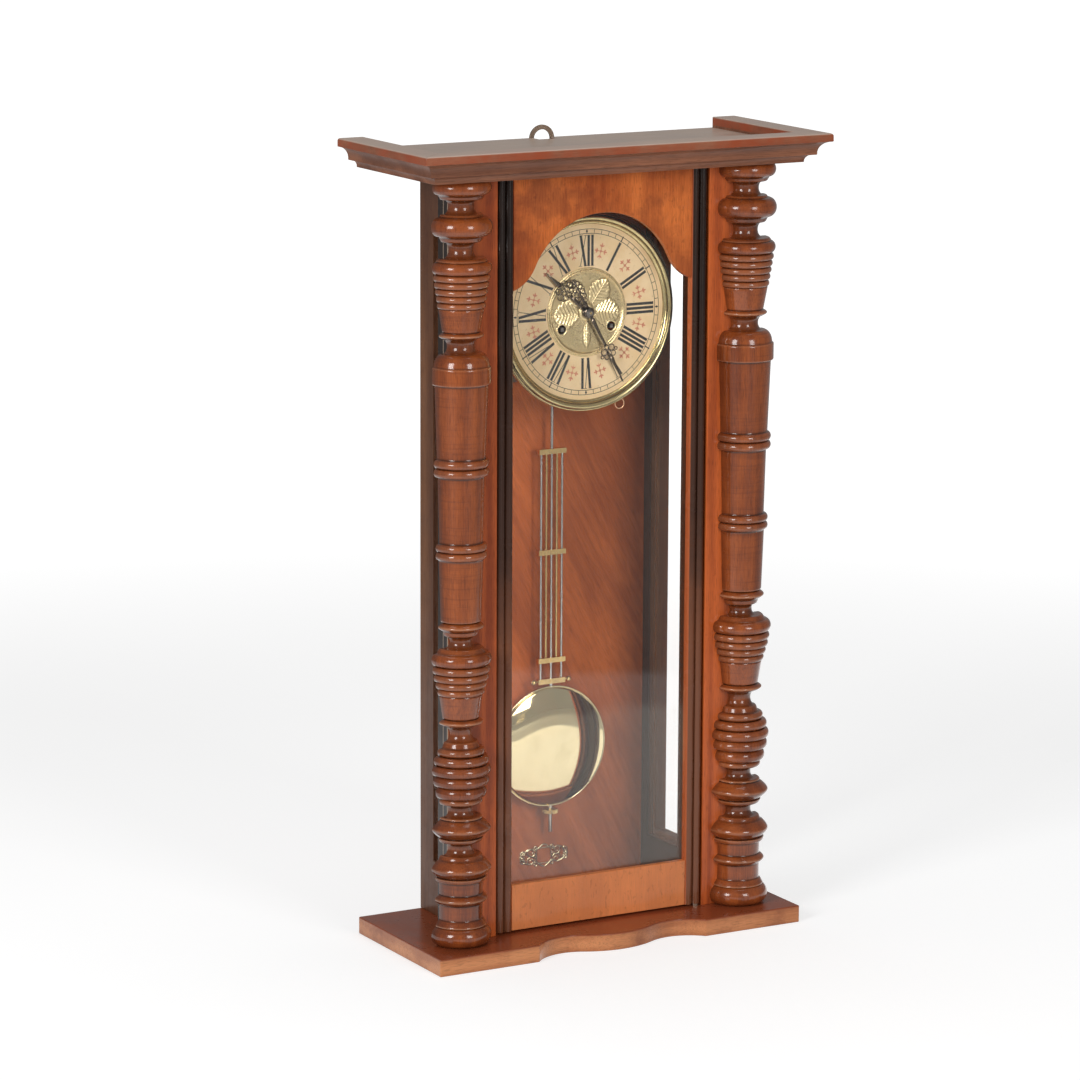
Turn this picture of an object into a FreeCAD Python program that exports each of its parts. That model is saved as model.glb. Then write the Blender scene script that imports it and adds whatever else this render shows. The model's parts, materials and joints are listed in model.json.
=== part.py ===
import FreeCAD, Part
import Sketcher
import math
import os
from FreeCAD import Placement, Rotation, Vector

# A spring-driven wall regulator clock, in millimetres.
# The frame stands on the base's underside (z = 0), with the wall plane at y = 0,
# the front towards -y and the middle of the case at x = 0.

doc = FreeCAD.newDocument("wall_regulator")
sheet = doc.addObject("Spreadsheet::Sheet", "Sizes")

SIZES = [
    # base board
    ("base_past", 45), ("base_front", 46), ("base_thick", 17),
    ("scoop_half", 92.7), ("scoop_step", 10), ("scoop_radius", 44.7), ("bow_half", 38), ("bow_rise", 9.5),
    # case carcass
    ("case_height", 733.1), ("side_past", 16.8), ("side_thick", 20), ("side_depth", 104), ("back_thick", 10),
    ("rear_stile", 27), ("front_stile", 29), ("side_rail", 54), ("glass_thick", 2.5), ("glass_lap", 5),
    ("side_rebate", 8), ("glass_play", 0.5), ("top_thick", 18), ("top_past", 37.75), ("top_front", 27.8),
    # cornice moulding
    ("cornice_wide", 27), ("cornice_high", 28.5), ("cornice_foot", 6.75), ("nose_high", 8),
    ("nose_round", 2.5), ("nose_lip", 1), ("cove_reach", 10.2), ("cove_drop", 11.1), ("cove_radius", 11.4),
    ("step_reach", 2.2), ("step_drop", 2), ("low_cove_drop", 6), ("low_cove_radius", 6.6),
    # pilasters and columns
    ("door_gap", 1.2), ("pilaster_wide", 52.8), ("pilaster_thick", 20), ("column_inset", 39.8),
    # door
    ("door_half", 114), ("door_clear", 1), ("door_lift", 2.5), ("door_drop", 1.5), ("stile_wide", 17),
    ("bead_high", 3.5), ("rail_set", 2), ("rail_front", 6.5), ("bottom_rail", 45), ("top_rail_rear", 32.9),
    ("arch_drop", 41.1), ("arch_half", 74), ("arch_rise", 48), ("arch_radius", 81), ("ear_rise", 20.5),
    ("ear_radius", 39.7), ("pin_rad", 1.6), ("pin_deep", 10), ("pin_rise", 8), ("collar_rad", 3.4),
    ("running", 0.05),
    # hanger and screws
    ("hanger_rad", 13.5), ("hanger_hole", 9), ("hanger_rise", 16.9), ("hanger_drop", 50.1),
    ("hanger_thick", 2), ("hook_room", 14), ("hook_play", 1), ("screw_rad", 2), ("head_rad", 4),
    ("screw_long", 8), ("head_high", 1.6),
    # dial
    ("dial_drop", 140.1), ("dial_stand", 19), ("dial_margin", 5.5), ("dial_thick", 1), ("pan_rad", 90),
    ("pan_thick", 2.5), ("dial_bore", 4.6), ("dial_play", 0.2), ("centre_rad", 42.8), ("boss_ring", 4.3),
    ("relief_high", 0.4), ("boss_high", 0.6), ("boss_wide", 4), ("bezel_past", 6), ("bezel_over", 5),
    ("bezel_rise", 5.5), ("bezel_sink", 7), ("bezel_lip", 1.4), ("bezel_skirt", 4),
    ("bezel_roll", 5), ("bezel_crest", 3.2), ("bezel_shoulder", 4.6), ("bezel_cove", 13), ("bezel_edge", 0.6),
    ("wind_out", 27), ("wind_drop", 15),
    ("wind_hole", 4.6), ("collar_wall", 1.4), ("collar_high", 0.7), ("foot_rad", 2.5), ("foot_out", 42),
    ("foot_up", 34),
    # hands
    ("minute_long", 79), ("minute_tail", 38), ("minute_rosette", 47), ("minute_lobe", 3), ("hour_long", 62),
    ("hour_rosette", 40), ("hour_lobe", 3.6), ("hand_thick", 0.9), ("minute_angle", 151), ("hour_angle", 312),
    ("hour_lift", 2.7), ("hand_gap", 1.9), ("boss_wall", 3.4), ("blade_root", 1.8), ("blade_waist", 1.25),
    ("blade_tip", 0.35), ("tail_half", 2.6), ("tail_point", 4), ("hour_pipe", 3.4), ("cannon_pipe", 2.3),
    ("snug", 0.02), ("nut_wide", 4), ("nut_tip", 2.4), ("nut_long", 2.6), ("nut_edge", 1.2),
    # movement frame
    ("plate_half", 50), ("plate_down", 58), ("plate_rise", 68), ("plate_thick", 2.2), ("plate_gap", 33.6),
    ("pillar_rad", 4), ("pillar_in", 8), ("end_play", 0.3), ("seat_half", 40), ("seat_wide", 8),
    ("seat_thick", 6), ("flange_high", 18), ("flange_thick", 3), ("cock_half", 13), ("cock_wall", 4),
    ("cock_cheek", 2), ("cock_play", 0.4), ("cock_down", 5), ("cock_up", 7),
    # wheels
    ("great_teeth", 96), ("centre_teeth", 80), ("centre_module", 0.5), ("third_teeth", 72),
    ("third_module", 0.45), ("pinion_leaves", 8), ("pinion_over", 0.6), ("escape_teeth", 30),
    ("escape_rad", 15), ("escape_deep", 2.6), ("escape_rim", 1.6), ("escape_up", 34), ("escape_layer", 7),
    ("anchor_up", 55),
    ("wheel_thick", 1.2), ("wheel_hub", 3.5), ("wheel_rim", 2.5), ("spoke_wide", 1.6), ("spoke_count", 5),
    ("layer_gap", 2.4), ("drum_rad", 22), ("drum_deep", 18), ("lid_past", 0.5), ("barrel_clear", 1.2),
    ("arbor_rad", 1.2), ("pivot_rad", 1), ("wind_arbor_rad", 2.6), ("wind_square", 3.6), ("square_long", 7.6),
    ("square_proud", 1.6), ("strike_teeth", 80), ("strike_module", 0.6), ("pin_leaves", 10),
    ("pin_wheel_rad", 13.5), ("pin_wheel_turn", 20), ("pin_count", 8), ("lift_pin_rad", 0.7),
    ("lift_pin_long", 1.2), ("cannon_leaves", 12), ("minute_teeth", 36), ("motion_module", 0.5),
    ("minute_leaves", 10), ("hour_teeth", 40), ("motion_gap", 3), ("cannon_thick", 2.4), ("ratchet_rad", 8),
    ("ratchet_teeth", 20), ("ratchet_deep", 1.2), ("ratchet_thick", 2), ("ratchet_gap", 1.5),
    ("stud_long", 9),
    # anchor and crutch
    ("pallet_hub", 4), ("pallet_arm", 3.6), ("pallet_wide", 2.6), ("pallet_long", 6.4), ("pallet_clear", 0.6),
    ("pallet_over", 1), ("crutch_long", 50), ("crutch_wide", 4), ("crutch_thick", 1.4), ("crutch_gap", 0.6),
    ("crutch_hub", 3), ("crutch_hub_long", 2.4), ("fork_wall", 2), ("fork_high", 3), ("fork_play", 0.3),
    # gong and hammer
    ("gong_drop", 14), ("gong_in", 16), ("gong_pitch", 7), ("gong_wire", 1.5), ("gong_stand", 5),
    ("gong_tail", 3), ("gong_halves", 7), ("block_wide", 19.2), ("block_past", 2.4), ("block_high", 5.1),
    ("block_wall", 1.5), ("hammer_out", 39), ("hammer_up", 40), ("hammer_rad", 4), ("hammer_gap", 1.6),
    ("hammer_above", 4), ("hammer_arm", 3), ("hammer_arm_thick", 2), ("hammer_hub", 3.2), ("hammer_past", 3),
    # pendulum
    ("swing_stand", 13), ("swing_gap", 9), ("grid_drop", 200), ("grid_span", 100), ("grid_foot", 21),
    ("foot_gap", 0.5), ("rod_pitch", 5.8), ("rod_rad", 1.25), ("bar_half", 15), ("bar_high", 5),
    ("bar_deep", 5.5),
    ("finial_rad", 3), ("finial_neck", 1.2), ("finial_out", 1.6), ("bob_rise", 89), ("bob_rad", 61),
    ("bob_rim", 3), ("bob_crown", 8), ("bob_back", 4.5), ("foot_room", 66), ("rating_rad", 2), ("nut_rad", 8),
    ("nut_high", 5), ("nut_chamfer", 1), ("nut_gap", 0.3), ("hub_rad", 4), ("hub_long", 3.7), ("hub_sunk", 4),
    ("cap_long", 0.2), ("spring_thick", 0.6), ("spring_wide", 3.6), ("spring_long", 25), ("spring_pin", 1.2),
    ("hook_rad", 1.5), ("block_half", 4), ("block_long", 8),
    # beat plate
    ("plaque_half", 28), ("plaque_high", 24), ("plaque_rise", 39), ("plaque_thick", 1.4),
    ("plaque_lobe", 6.2), ("plaque_tip", 3.9), ("plaque_pierce", 2.4),
    # strike trip wire
    ("trip_out", 46), ("trip_drop", 48), ("trip_long", 46), ("trip_wire", 0.7), ("trip_eye", 4.9),
    ("trip_stand", 4), ("stud_head", 1),
]

# The turned half columns, from the foot up: form, height and largest (or smallest) radius.
# A taper has its radius at the foot and at the top, and a disc those of its edge and its roots.
# The heights are shares of the case's height.
TURNINGS = [
    ("bead", 19, 30.5), ("taper", 6, 26.5, 23), ("taper", 15, 22, 22), ("disc", 10.5, 27, 21.5),
    ("taper", 12.5, 22, 22.4), ("taper", 4, 25.5, 26.5), ("disc", 17, 30.5, 24), ("taper", 4.5, 23, 21),
    ("neck", 12.5, 13), ("taper", 4, 21, 23), ("disc", 19, 30, 20.5), ("taper", 2, 22, 21), ("neck", 12, 12.5),
    ("bead", 6, 22), ("bead", 12, 26), ("bead", 10.5, 28.5), ("bead", 10, 30), ("bead", 9, 28),
    ("bead", 7.5, 24), ("taper", 6, 19, 17), ("neck", 15, 11.5), ("disc", 7.5, 22.5, 17),
    ("taper", 22.5, 18.5, 22), ("bead", 7, 24), ("bead", 7, 26), ("bead", 7.5, 28), ("bead", 7.5, 29.3),
    ("bead", 12.5, 30.5),
    ("taper", 4.5, 25, 22), ("neck", 11, 11.5), ("taper", 4.5, 16.5, 18), ("disc", 9.5, 23.5, 17.5),
    ("taper", 60, 20.5, 22.5), ("bead", 7.7, 26), ("bead", 7.8, 26), ("taper", 63.5, 22, 23.5),
    ("bead", 8.5, 28), ("bead", 8.5, 28), ("taper", 70.5, 24.5, 27), ("taper", 16.5, 29.5, 29.5),
    ("dome", 12.5, 28, 20), ("neck", 13.5, 14), ("disc", 6.7, 23, 18), ("taper", 21.8, 19, 23),
    ("bead", 6.5, 24.5), ("bead", 6.5, 25.5), ("bead", 6.5, 26.5), ("bead", 6.5, 27.5), ("bead", 6.5, 28.5),
    ("bead", 12, 30), ("taper", 3, 26, 24), ("neck", 15, 12.5), ("taper", 5, 20, 22.5), ("bead", 18.5, 30.6),
    ("taper", 2.5, 22, 21), ("neck", 13.5, 13), ("taper", 4.5, 21, 23.5), ("bead", 14.1, 29.5),
]


class Size:
    """A number together with the sheet formula that gives it."""

    def __init__(self, number, formula):
        self.number = float(number)
        self.formula = formula

    def join(self, other, sign, number):
        return Size(number, "(%s %s %s)" % (self.formula, sign, other.formula))

    def __add__(self, other):
        other = size(other)
        return self.join(other, "+", self.number + other.number)

    def __sub__(self, other):
        other = size(other)
        return self.join(other, "-", self.number - other.number)

    def __mul__(self, other):
        other = size(other)
        return self.join(other, "*", self.number * other.number)

    def __truediv__(self, other):
        other = size(other)
        return self.join(other, "/", self.number / other.number)

    def __radd__(self, other):
        return size(other) + self

    def __rsub__(self, other):
        return size(other) - self

    def __rmul__(self, other):
        return size(other) * self

    def __neg__(self):
        return Size(-self.number, "(0 - %s)" % self.formula)

    def __float__(self):
        return self.number


def size(value):
    """A plain number as a Size, and a Size as it is."""
    return value if isinstance(value, Size) else Size(value, repr(float(value)))


class Named:
    """The sheet's sizes, each under its own name."""


def write_sheet(rows):
    named = Named()
    for row, (name, value) in enumerate(rows, start=1):
        sheet.set("A%d" % row, name)
        sheet.set("B%d" % row, str(value))
        sheet.setAlias("B%d" % row, name)
        setattr(named, name, Size(value, "Sizes." + name))
    doc.recompute()
    return named


def turning_rows():
    """The columns' own rows: a height and one or two radii for each turned member."""
    rows = []
    for number, member in enumerate(TURNINGS):
        rows.append(("turn_%02d_high" % number, member[1]))
        rows.append(("turn_%02d_low" % number, member[2]))
        rows.append(("turn_%02d_top" % number, member[-1]))
    return rows


d = write_sheet(SIZES + turning_rows())
pieces = []


def keep(thing, label):
    """Names a finished sub-part and lists it for writing."""
    thing.Label = label
    pieces.append(thing)
    return thing


def bind(thing, path, value):
    thing.setExpression(path, size(value).formula)


def place(thing, x, y, z):
    for letter, value in (("x", x), ("y", y), ("z", z)):
        bind(thing, "Placement.Base." + letter, value)


def box(name, x, y, z):
    """A block between two values on each axis."""
    block = doc.addObject("Part::Box", name)
    for side, (low, high) in (("Length", x), ("Width", y), ("Height", z)):
        bind(block, side, size(high) - low)
    place(block, x[0], y[0], z[0])
    return block


TURNS = {"x": Rotation(Vector(0, 1, 0), 90), "y": Rotation(Vector(1, 0, 0), -90), "z": Rotation()}


def rod(name, axis, radius, at, start, end):
    """A cylinder along an axis, at two values on the other axes, between two values on its own."""
    bar = doc.addObject("Part::Cylinder", name)
    bar.Placement = Placement(Vector(), TURNS[axis])
    bind(bar, "Radius", radius)
    bind(bar, "Height", size(end) - start)
    spot = list(at)
    spot.insert("xyz".index(axis), start)
    place(bar, *spot)
    return bar


def cut(name, base, *tools):
    for number, tool in enumerate(tools):
        piece = doc.addObject("Part::Cut", name if number == len(tools) - 1 else "%s_cut%d" % (name, number))
        piece.Base = base
        piece.Tool = tool
        base = piece
    return base


def fuse(name, *parts):
    piece = doc.addObject("Part::MultiFuse", name)
    piece.Shapes = list(parts)
    piece.Refine = True
    return piece


def common(name, one, other):
    piece = doc.addObject("Part::Common", name)
    piece.Base = one
    piece.Tool = other
    return piece


def group(name, *parts):
    """Separate solids that share one sub-part."""
    piece = doc.addObject("Part::Compound", name)
    piece.Links = list(parts)
    return piece


def shaped(name, shape):
    piece = doc.addObject("Part::Feature", name)
    piece.Shape = shape
    return piece


def arc_centre(start, end, radius, side):
    """The centre of the short arc between two points, left (1) or right (-1) of the way."""
    middle = (start + end) / 2
    way = end - start
    half = way.Length / 2
    rise = math.sqrt(max(radius ** 2 - half ** 2, 0))
    left = Vector(-way.y, way.x, 0).normalize()
    return middle + left * rise * side


def outline(corners):
    """The lines and arcs of a closed outline, each with its start and end points' numbers.
    A corner is (u, v), or (u, v, radius, side) where an arc ends."""
    spots = [Vector(float(size(c[0])), float(size(c[1])), 0) for c in corners]
    count = len(corners)
    shapes, ends = [], []
    for n in range(count):
        start, end, goal = spots[n], spots[(n + 1) % count], corners[(n + 1) % count]
        if len(goal) == 2:
            shapes.append(Part.LineSegment(start, end))
            ends.append((1, 2))
            continue
        radius, side = float(size(goal[2])), goal[3]
        centre = arc_centre(start, end, radius, side)
        first, last = (start, end) if side > 0 else (end, start)
        angles = [math.atan2(p.y - centre.y, p.x - centre.x) for p in (first, last)]
        shapes.append(Part.ArcOfCircle(Part.Circle(centre, Vector(0, 0, 1), radius), *angles))
        ends.append((1, 2) if side > 0 else (2, 1))
    return shapes, ends


def draw(sketch, corners):
    """Draws a closed outline and ties each corner and each arc to the sheet."""
    shapes, ends = outline(corners)
    count = len(corners)
    sketch.addGeometry(shapes, False)
    rules, formulas = [], []
    for n in range(count):
        after = (n + 1) % count
        rules.append(Sketcher.Constraint("Coincident", n, ends[n][1], after, ends[after][0]))
        for kind, zero_axis, value in (("DistanceX", -2, corners[n][0]), ("DistanceY", -1, corners[n][1])):
            value = size(value)
            if value.number == 0:
                rules.append(Sketcher.Constraint("PointOnObject", n, ends[n][0], zero_axis))
            else:
                formulas.append((len(rules), value.formula))
                rules.append(Sketcher.Constraint(kind, -1, 1, n, ends[n][0], value.number))
        goal = corners[after]
        if len(goal) > 2:
            formulas.append((len(rules), size(goal[2]).formula))
            rules.append(Sketcher.Constraint("Radius", n, float(size(goal[2]))))
    sketch.addConstraint(rules)
    for index, formula in formulas:
        sketch.setExpression("Constraints[%d]" % index, formula)


def sketch_on(body, plane, corners, offset):
    """A sketch on one of the body's own planes, moved by an offset along the plane's axes."""
    sketch = body.newObject("Sketcher::SketchObject", body.Name + "_sketch")
    support = [f for f in body.Origin.OriginFeatures if f.Role == plane + "_Plane"][0]
    sketch.AttachmentSupport = [(support, "")]
    sketch.MapMode = "FlatFace"
    for letter, value in zip("xyz", offset):
        bind(sketch, "AttachmentOffset.Base." + letter, value)
    draw(sketch, corners)
    return sketch


def plate(name, plane, corners, start, thick):
    """An outline padded square to its plane: XY upwards from z, XZ forwards from y, YZ rightwards from x."""
    body = doc.addObject("PartDesign::Body", name)
    along = -size(start) if plane == "XZ" else start
    sketch = sketch_on(body, plane, corners, (0, 0, along))
    pad = body.newObject("PartDesign::Pad", name + "_pad")
    pad.Profile = sketch
    bind(pad, "Length", thick)
    return body


def turned(name, axis, corners, at):
    """A profile of (radius, along) revolved about an axis along y or z."""
    body = doc.addObject("PartDesign::Body", name)
    plane = "XY" if axis == "y" else "XZ"
    depth = at[1] if axis == "y" else -size(at[1])
    sketch = sketch_on(body, plane, corners, (at[0], 0, depth))
    spin = body.newObject("PartDesign::Revolution", name + "_spin")
    spin.Profile = sketch
    spin.ReferenceAxis = (sketch, ["V_Axis"])
    return body


def rectangle(u, v):
    return [(u[0], v[0]), (u[1], v[0]), (u[1], v[1]), (u[0], v[1])]


def both(value):
    """The span that a half size covers on both sides of the middle."""
    return (-size(value), size(value))


# Widths, from the door outwards
pilaster_inner = d.door_half + d.door_gap
pilaster_outer = pilaster_inner + d.pilaster_wide
column_out = pilaster_inner + d.column_inset
case_half = pilaster_inner + d.side_past
side_in = case_half - d.side_thick
top_half = column_out + d.top_past
base_half = column_out + d.base_past

# Depths, forwards from the wall
front_depth = d.side_depth + d.pilaster_thick
base_depth = front_depth + d.base_front
top_depth = front_depth + d.top_front
back_face = -d.back_thick
front = -front_depth
gong_depth = d.back_thick + d.gong_stand
swing_depth = d.back_thick + d.swing_stand
plate_front = swing_depth + d.swing_gap + 2 * d.plate_thick + d.plate_gap
dial_face = plate_front + d.dial_stand

# Heights, down from the case's top and up from its foot
case_low = d.base_thick
case_top = case_low + d.case_height
hanger_up = case_top + d.hanger_rise
hanger_low = case_top - d.hanger_drop
dial_up = case_top - d.dial_drop
plate_low = dial_up - d.plate_down
plate_top = dial_up + d.plate_rise
gong_up = dial_up - d.gong_drop
grid_top = dial_up + d.anchor_up - d.grid_drop
grid_mid = grid_top - d.grid_span
rating_end = case_low + d.foot_room
bob_up = rating_end + d.bob_rise
foot_bar = bob_up + d.bob_rad + d.foot_gap + d.bar_high / 2
grid_low = foot_bar + d.grid_foot
hub_low = bob_up - d.bob_rad - d.hub_long

# The door's pivot, in the middle of its right stile's outer bead
pivot = (d.door_half - d.stile_wide / 4, front + d.bead_high)

# How far a cutting tool runs past the face that it leaves
PAST = 1


def base_board():
    """The base: a straight front edge, with a scoop on each side of a bowed middle."""
    edge = -base_depth
    turn = edge + d.scoop_step
    bow = (d.bow_half * d.bow_half + d.bow_rise * d.bow_rise) / (2 * d.bow_rise)
    corners = [
        (-base_half, 0), (-base_half, edge), (-d.scoop_half, edge),
        (-d.bow_half, turn, d.scoop_radius, -1), (d.bow_half, turn, bow, 1),
        (d.scoop_half, edge, d.scoop_radius, -1), (base_half, edge), (base_half, 0),
    ]
    board = plate("base_slab", "XY", corners, 0, d.base_thick)
    bore = d.pin_rad + d.running
    socket = rod("base_socket", "z", bore, pivot, case_low - d.pin_deep, case_low + PAST)
    keep(cut("base_board", board, socket), "base_board")


def carcass():
    """Back board, glazed sides, their glass and the top board."""
    back = box("back_slab", both(side_in), (back_face, 0), (case_low, case_top))
    slot = box("back_slot", both(d.hanger_rad), (-d.hanger_thick, PAST), (hanger_low, case_top + PAST))
    holes = [
        rod("back_hole%d" % n, "y", d.screw_rad + d.running, (0, z), -d.hanger_thick - d.screw_long, PAST)
        for n, z in enumerate(hanger_screw_heights())
    ]
    seats = [
        rod("seat_hole%d" % n, "y", d.screw_rad + d.running, spot, back_face - PAST, back_face + d.screw_long)
        for n, spot in enumerate(bracket_screw_spots())
    ]
    keep(cut("back_board", back, slot, *holes, *seats), "back_board")
    window_y = (-(d.side_depth - d.front_stile), -d.rear_stile)
    window_z = (case_low + d.side_rail, case_top - d.side_rail)
    for name, sign in (("left", -1), ("right", 1)):
        outer, inner = sign * case_half, sign * side_in
        shoulder = sign * (side_in + d.side_rebate)
        across = (inner, outer) if sign > 0 else (outer, inner)
        rebate = (inner, shoulder) if sign > 0 else (shoulder, inner)
        slab = box(name + "_side_slab", across, (-d.side_depth, 0), (case_low, case_top))
        hole = box(name + "_window", across, window_y, window_z)
        lap_y = (window_y[0] - d.glass_lap, window_y[1] + d.glass_lap)
        lap_z = (window_z[0] - d.glass_lap, window_z[1] + d.glass_lap)
        seat = box(name + "_lap", rebate, lap_y, lap_z)
        keep(cut(name + "_side_frame", slab, hole, seat), name + "_side_frame")
        pane = (shoulder - sign * d.glass_thick, shoulder)
        glass = box(
            name + "_side_glass", pane if sign > 0 else (pane[1], pane[0]),
            (lap_y[0] + d.glass_play, lap_y[1] - d.glass_play), (lap_z[0], lap_z[1] - d.glass_play),
        )
        keep(glass, name + "_side_glass")
    top = box("top_slab", both(top_half), (-top_depth, 0), (case_top, case_top + d.top_thick))
    through = (case_top - PAST, case_top + d.top_thick + PAST)
    notch = box("top_slot", both(d.hanger_rad), (-d.hanger_thick, PAST), through)
    room = rod("hook_notch", "y", d.hanger_hole + d.hook_play, (0, hanger_up), -d.hook_room, PAST)
    socket = rod("top_socket", "z", d.pin_rad + d.running, pivot, case_top - PAST, case_top + d.pin_deep)
    keep(cut("top_board", top, notch, room, socket), "top_board")


# A quarter or half circle drawn a little wide, so that rounding never leaves it short of its chord
SLACK = 1.02


def cornice_profile(flat, way):
    """The moulding's section: a round-nosed fillet, a cove, a small step and a second cove."""
    def out(reach):
        return flat + way * reach

    top = case_top + d.cornice_high
    nose = top - d.nose_high
    cove_top = d.cornice_wide - d.nose_lip
    cove_low = cove_top - d.cove_reach
    step = nose - d.cove_drop
    ledge = cove_low - d.step_reach
    low = step - d.step_drop
    side = -way
    return [
        (out(size(0)), case_top), (out(d.cornice_foot), case_top),
        (out(d.cornice_foot), low - d.low_cove_drop),
        (out(ledge), low, d.low_cove_radius, side), (out(cove_low), low), (out(cove_low), step),
        (out(cove_top), nose, d.cove_radius, side), (out(d.cornice_wide), nose),
        (out(d.cornice_wide), top - d.nose_round),
        (out(d.cornice_wide - d.nose_round), top, d.nose_round * SLACK, way), (out(size(0)), top),
    ]


def cornice():
    """Three lengths of moulding, mitred at the front corners."""
    high = d.cornice_high
    wide, deep = top_half + d.cornice_wide, top_depth + d.cornice_wide
    bar = plate("cornice_front_bar", "YZ", cornice_profile(-top_depth, -1), -wide, 2 * wide)
    plan = [(-top_half, -top_depth), (-wide, -deep), (wide, -deep), (top_half, -top_depth)]
    plan = plate("cornice_front_plan", "XY", plan, case_top, high)
    keep(common("cornice_front", bar, plan), "cornice_front")
    for name, sign in (("left", -1), ("right", 1)):
        bar = plate("cornice_%s_bar" % name, "XZ", cornice_profile(sign * top_half, sign), 0, deep)
        inner, outer = sign * top_half, sign * wide
        plan = [(inner, 0), (outer, 0), (outer, -deep), (inner, -top_depth)]
        plan = plate("cornice_%s_plan" % name, "XY", plan, case_top, high)
        keep(common("cornice_" + name, bar, plan), "cornice_" + name)


# How deep a bead stands out, and how deep a neck is drawn in, as shares of its height
BEAD_SHARE = 0.38
NECK_SHARE = 0.32
# A dome's radius, as a share of its height
DOME_SHARE = 1.3
# Half the thickness of a disc's edge, and how deep the edge is rounded, as shares of the disc's height
DISC_EDGE = 0.2
DISC_ROUND = 0.15


def bow_radius(chord, rise):
    """The radius of an arc from its chord and its rise."""
    return (chord * chord / 4 + rise * rise) / (2 * rise)


def column_profile():
    """The half column's outline, from the axis at the foot round the turnings to the axis at the top."""
    members = []
    for number, member in enumerate(TURNINGS):
        sizes = [getattr(d, "turn_%02d_%s" % (number, end)) for end in ("high", "low", "top")]
        members.append((member[0], *sizes))
    share = float(d.case_height) / sum(float(high) for form, high, low, top in members)
    corners = [(0, case_low)]
    z = case_low
    for form, high, low, top in members:
        high = high * share
        end = z + high
        if form == "bead":
            deep = high * BEAD_SHARE
            stretch = [(low - deep, z), (low - deep, end, bow_radius(high, deep), 1)]
        elif form == "neck":
            deep = high * NECK_SHARE
            stretch = [(low + deep, z), (low + deep, end, bow_radius(high, deep), -1)]
        elif form == "dome":
            stretch = [(low, z), (top, end, high * DOME_SHARE, 1)]
        elif form == "disc":
            edge, deep = high * DISC_EDGE, high * DISC_ROUND
            rim, middle = low - deep, z + high / 2
            rounded = (rim, middle + edge, bow_radius(edge * 2, deep), 1)
            stretch = [(top, z), (rim, middle - edge), rounded, (top, end)]
        else:
            stretch = [(low, z), (top, end)]
        met = abs(float(size(corners[-1][0])) - float(stretch[0][0])) < 1e-6
        corners += stretch[1:] if met else stretch
        z = end
    return corners + [(0, z)]


def fronts():
    """The pilaster boards and the half columns planted on them."""
    shapes, ends = outline(column_profile())
    face = Part.Face(Part.Wire(Part.__sortEdges__([shape.toShape() for shape in shapes])))
    face.rotate(Vector(), Vector(1, 0, 0), 90)
    half_section = shaped("column_section", face)
    for name, sign in (("left", -1), ("right", 1)):
        span = (sign * pilaster_inner, sign * pilaster_outer)
        span = span if sign > 0 else (span[1], span[0])
        keep(box(name + "_pilaster", span, (front, -d.side_depth), (case_low, case_top)), name + "_pilaster")
        column = doc.addObject("Part::Revolution", name + "_column")
        column.Source = half_section
        column.Axis = Vector(0, 0, 1)
        column.Angle = -180
        column.Solid = True
        place(column, sign * column_out, front, 0)
        keep(column, name + "_column")


def door():
    """The glazed door: two double-bead stiles, an arched top rail, a bottom rail and the glass."""
    low, high = case_low + d.door_lift, case_top - d.door_drop
    rear = front + d.pilaster_thick - d.door_clear
    root = front + d.bead_high
    inner = d.door_half - d.stile_wide
    rail_face = front + d.rail_set
    glass_face = rail_face + d.rail_front
    lap = inner + d.glass_lap
    middle = inner + d.stile_wide / 2
    bead = d.stile_wide / 4 * SLACK
    bore = d.pin_rad + d.running
    for name, sign in (("left", -1), ("right", 1)):
        way = -sign
        corners = [
            (sign * lap, rear), (sign * d.door_half, rear), (sign * d.door_half, root),
            (sign * middle, root, bead, way), (sign * inner, root, bead, way),
            (sign * inner, glass_face), (sign * lap, glass_face),
        ]
        stile = plate("door_%s_bar" % name, "XY", corners, low, high - low)
        if sign > 0:
            stile = cut(
                "door_right_stile", stile,
                rod("door_low_bore", "z", bore, pivot, low - PAST, low + d.pin_rise + PAST),
                rod("door_top_bore", "z", bore, pivot, high - d.pin_rise - PAST, high + PAST),
            )
        keep(stile, "door_%s_stile" % name)
    rail_top = low + d.bottom_rail
    glass_low = rail_top - d.glass_lap
    face = box("bottom_rail_face", both(inner), (rail_face, glass_face), (low, rail_top))
    rear_part = box("bottom_rail_rear", both(lap), (glass_face, rear), (low, glass_low))
    keep(fuse("door_bottom_rail", face, rear_part), "door_bottom_rail")
    arch_top = case_top - d.arch_drop
    arch_foot = arch_top - d.arch_rise
    ear_foot = arch_foot - d.ear_rise
    corners = [
        (-inner, high), (-inner, ear_foot), (-d.arch_half, arch_foot, d.ear_radius, 1),
        (0, arch_top, d.arch_radius, -1), (d.arch_half, arch_foot, d.arch_radius, -1),
        (inner, ear_foot, d.ear_radius, 1), (inner, high),
    ]
    arch = plate("door_arch", "XZ", corners, glass_face, d.rail_front)
    backing = box("top_rail_rear_part", both(lap), (glass_face, rear), (high - d.top_rail_rear, high))
    keep(fuse("door_top_rail", arch, backing), "door_top_rail")
    keep(
        box(
            "door_glass", both(lap - d.glass_play), (glass_face, glass_face + d.glass_thick),
            (glass_low, high - d.top_rail_rear - d.glass_play),
        ),
        "door_glass",
    )
    lower = fuse(
        "low_pin", rod("low_pin_shank", "z", d.pin_rad, pivot, case_low - d.pin_deep, low + d.pin_rise),
        rod("low_pin_collar", "z", d.collar_rad, pivot, case_low, low),
    )
    upper = rod("top_pin", "z", d.pin_rad, pivot, high - d.pin_rise, case_top + d.pin_deep)
    keep(group("hinge_pins", lower, upper), "hinge_pins")


def hanger_screw_heights():
    return [hanger_low + d.hanger_rad * n for n in (1, 3)]


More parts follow.
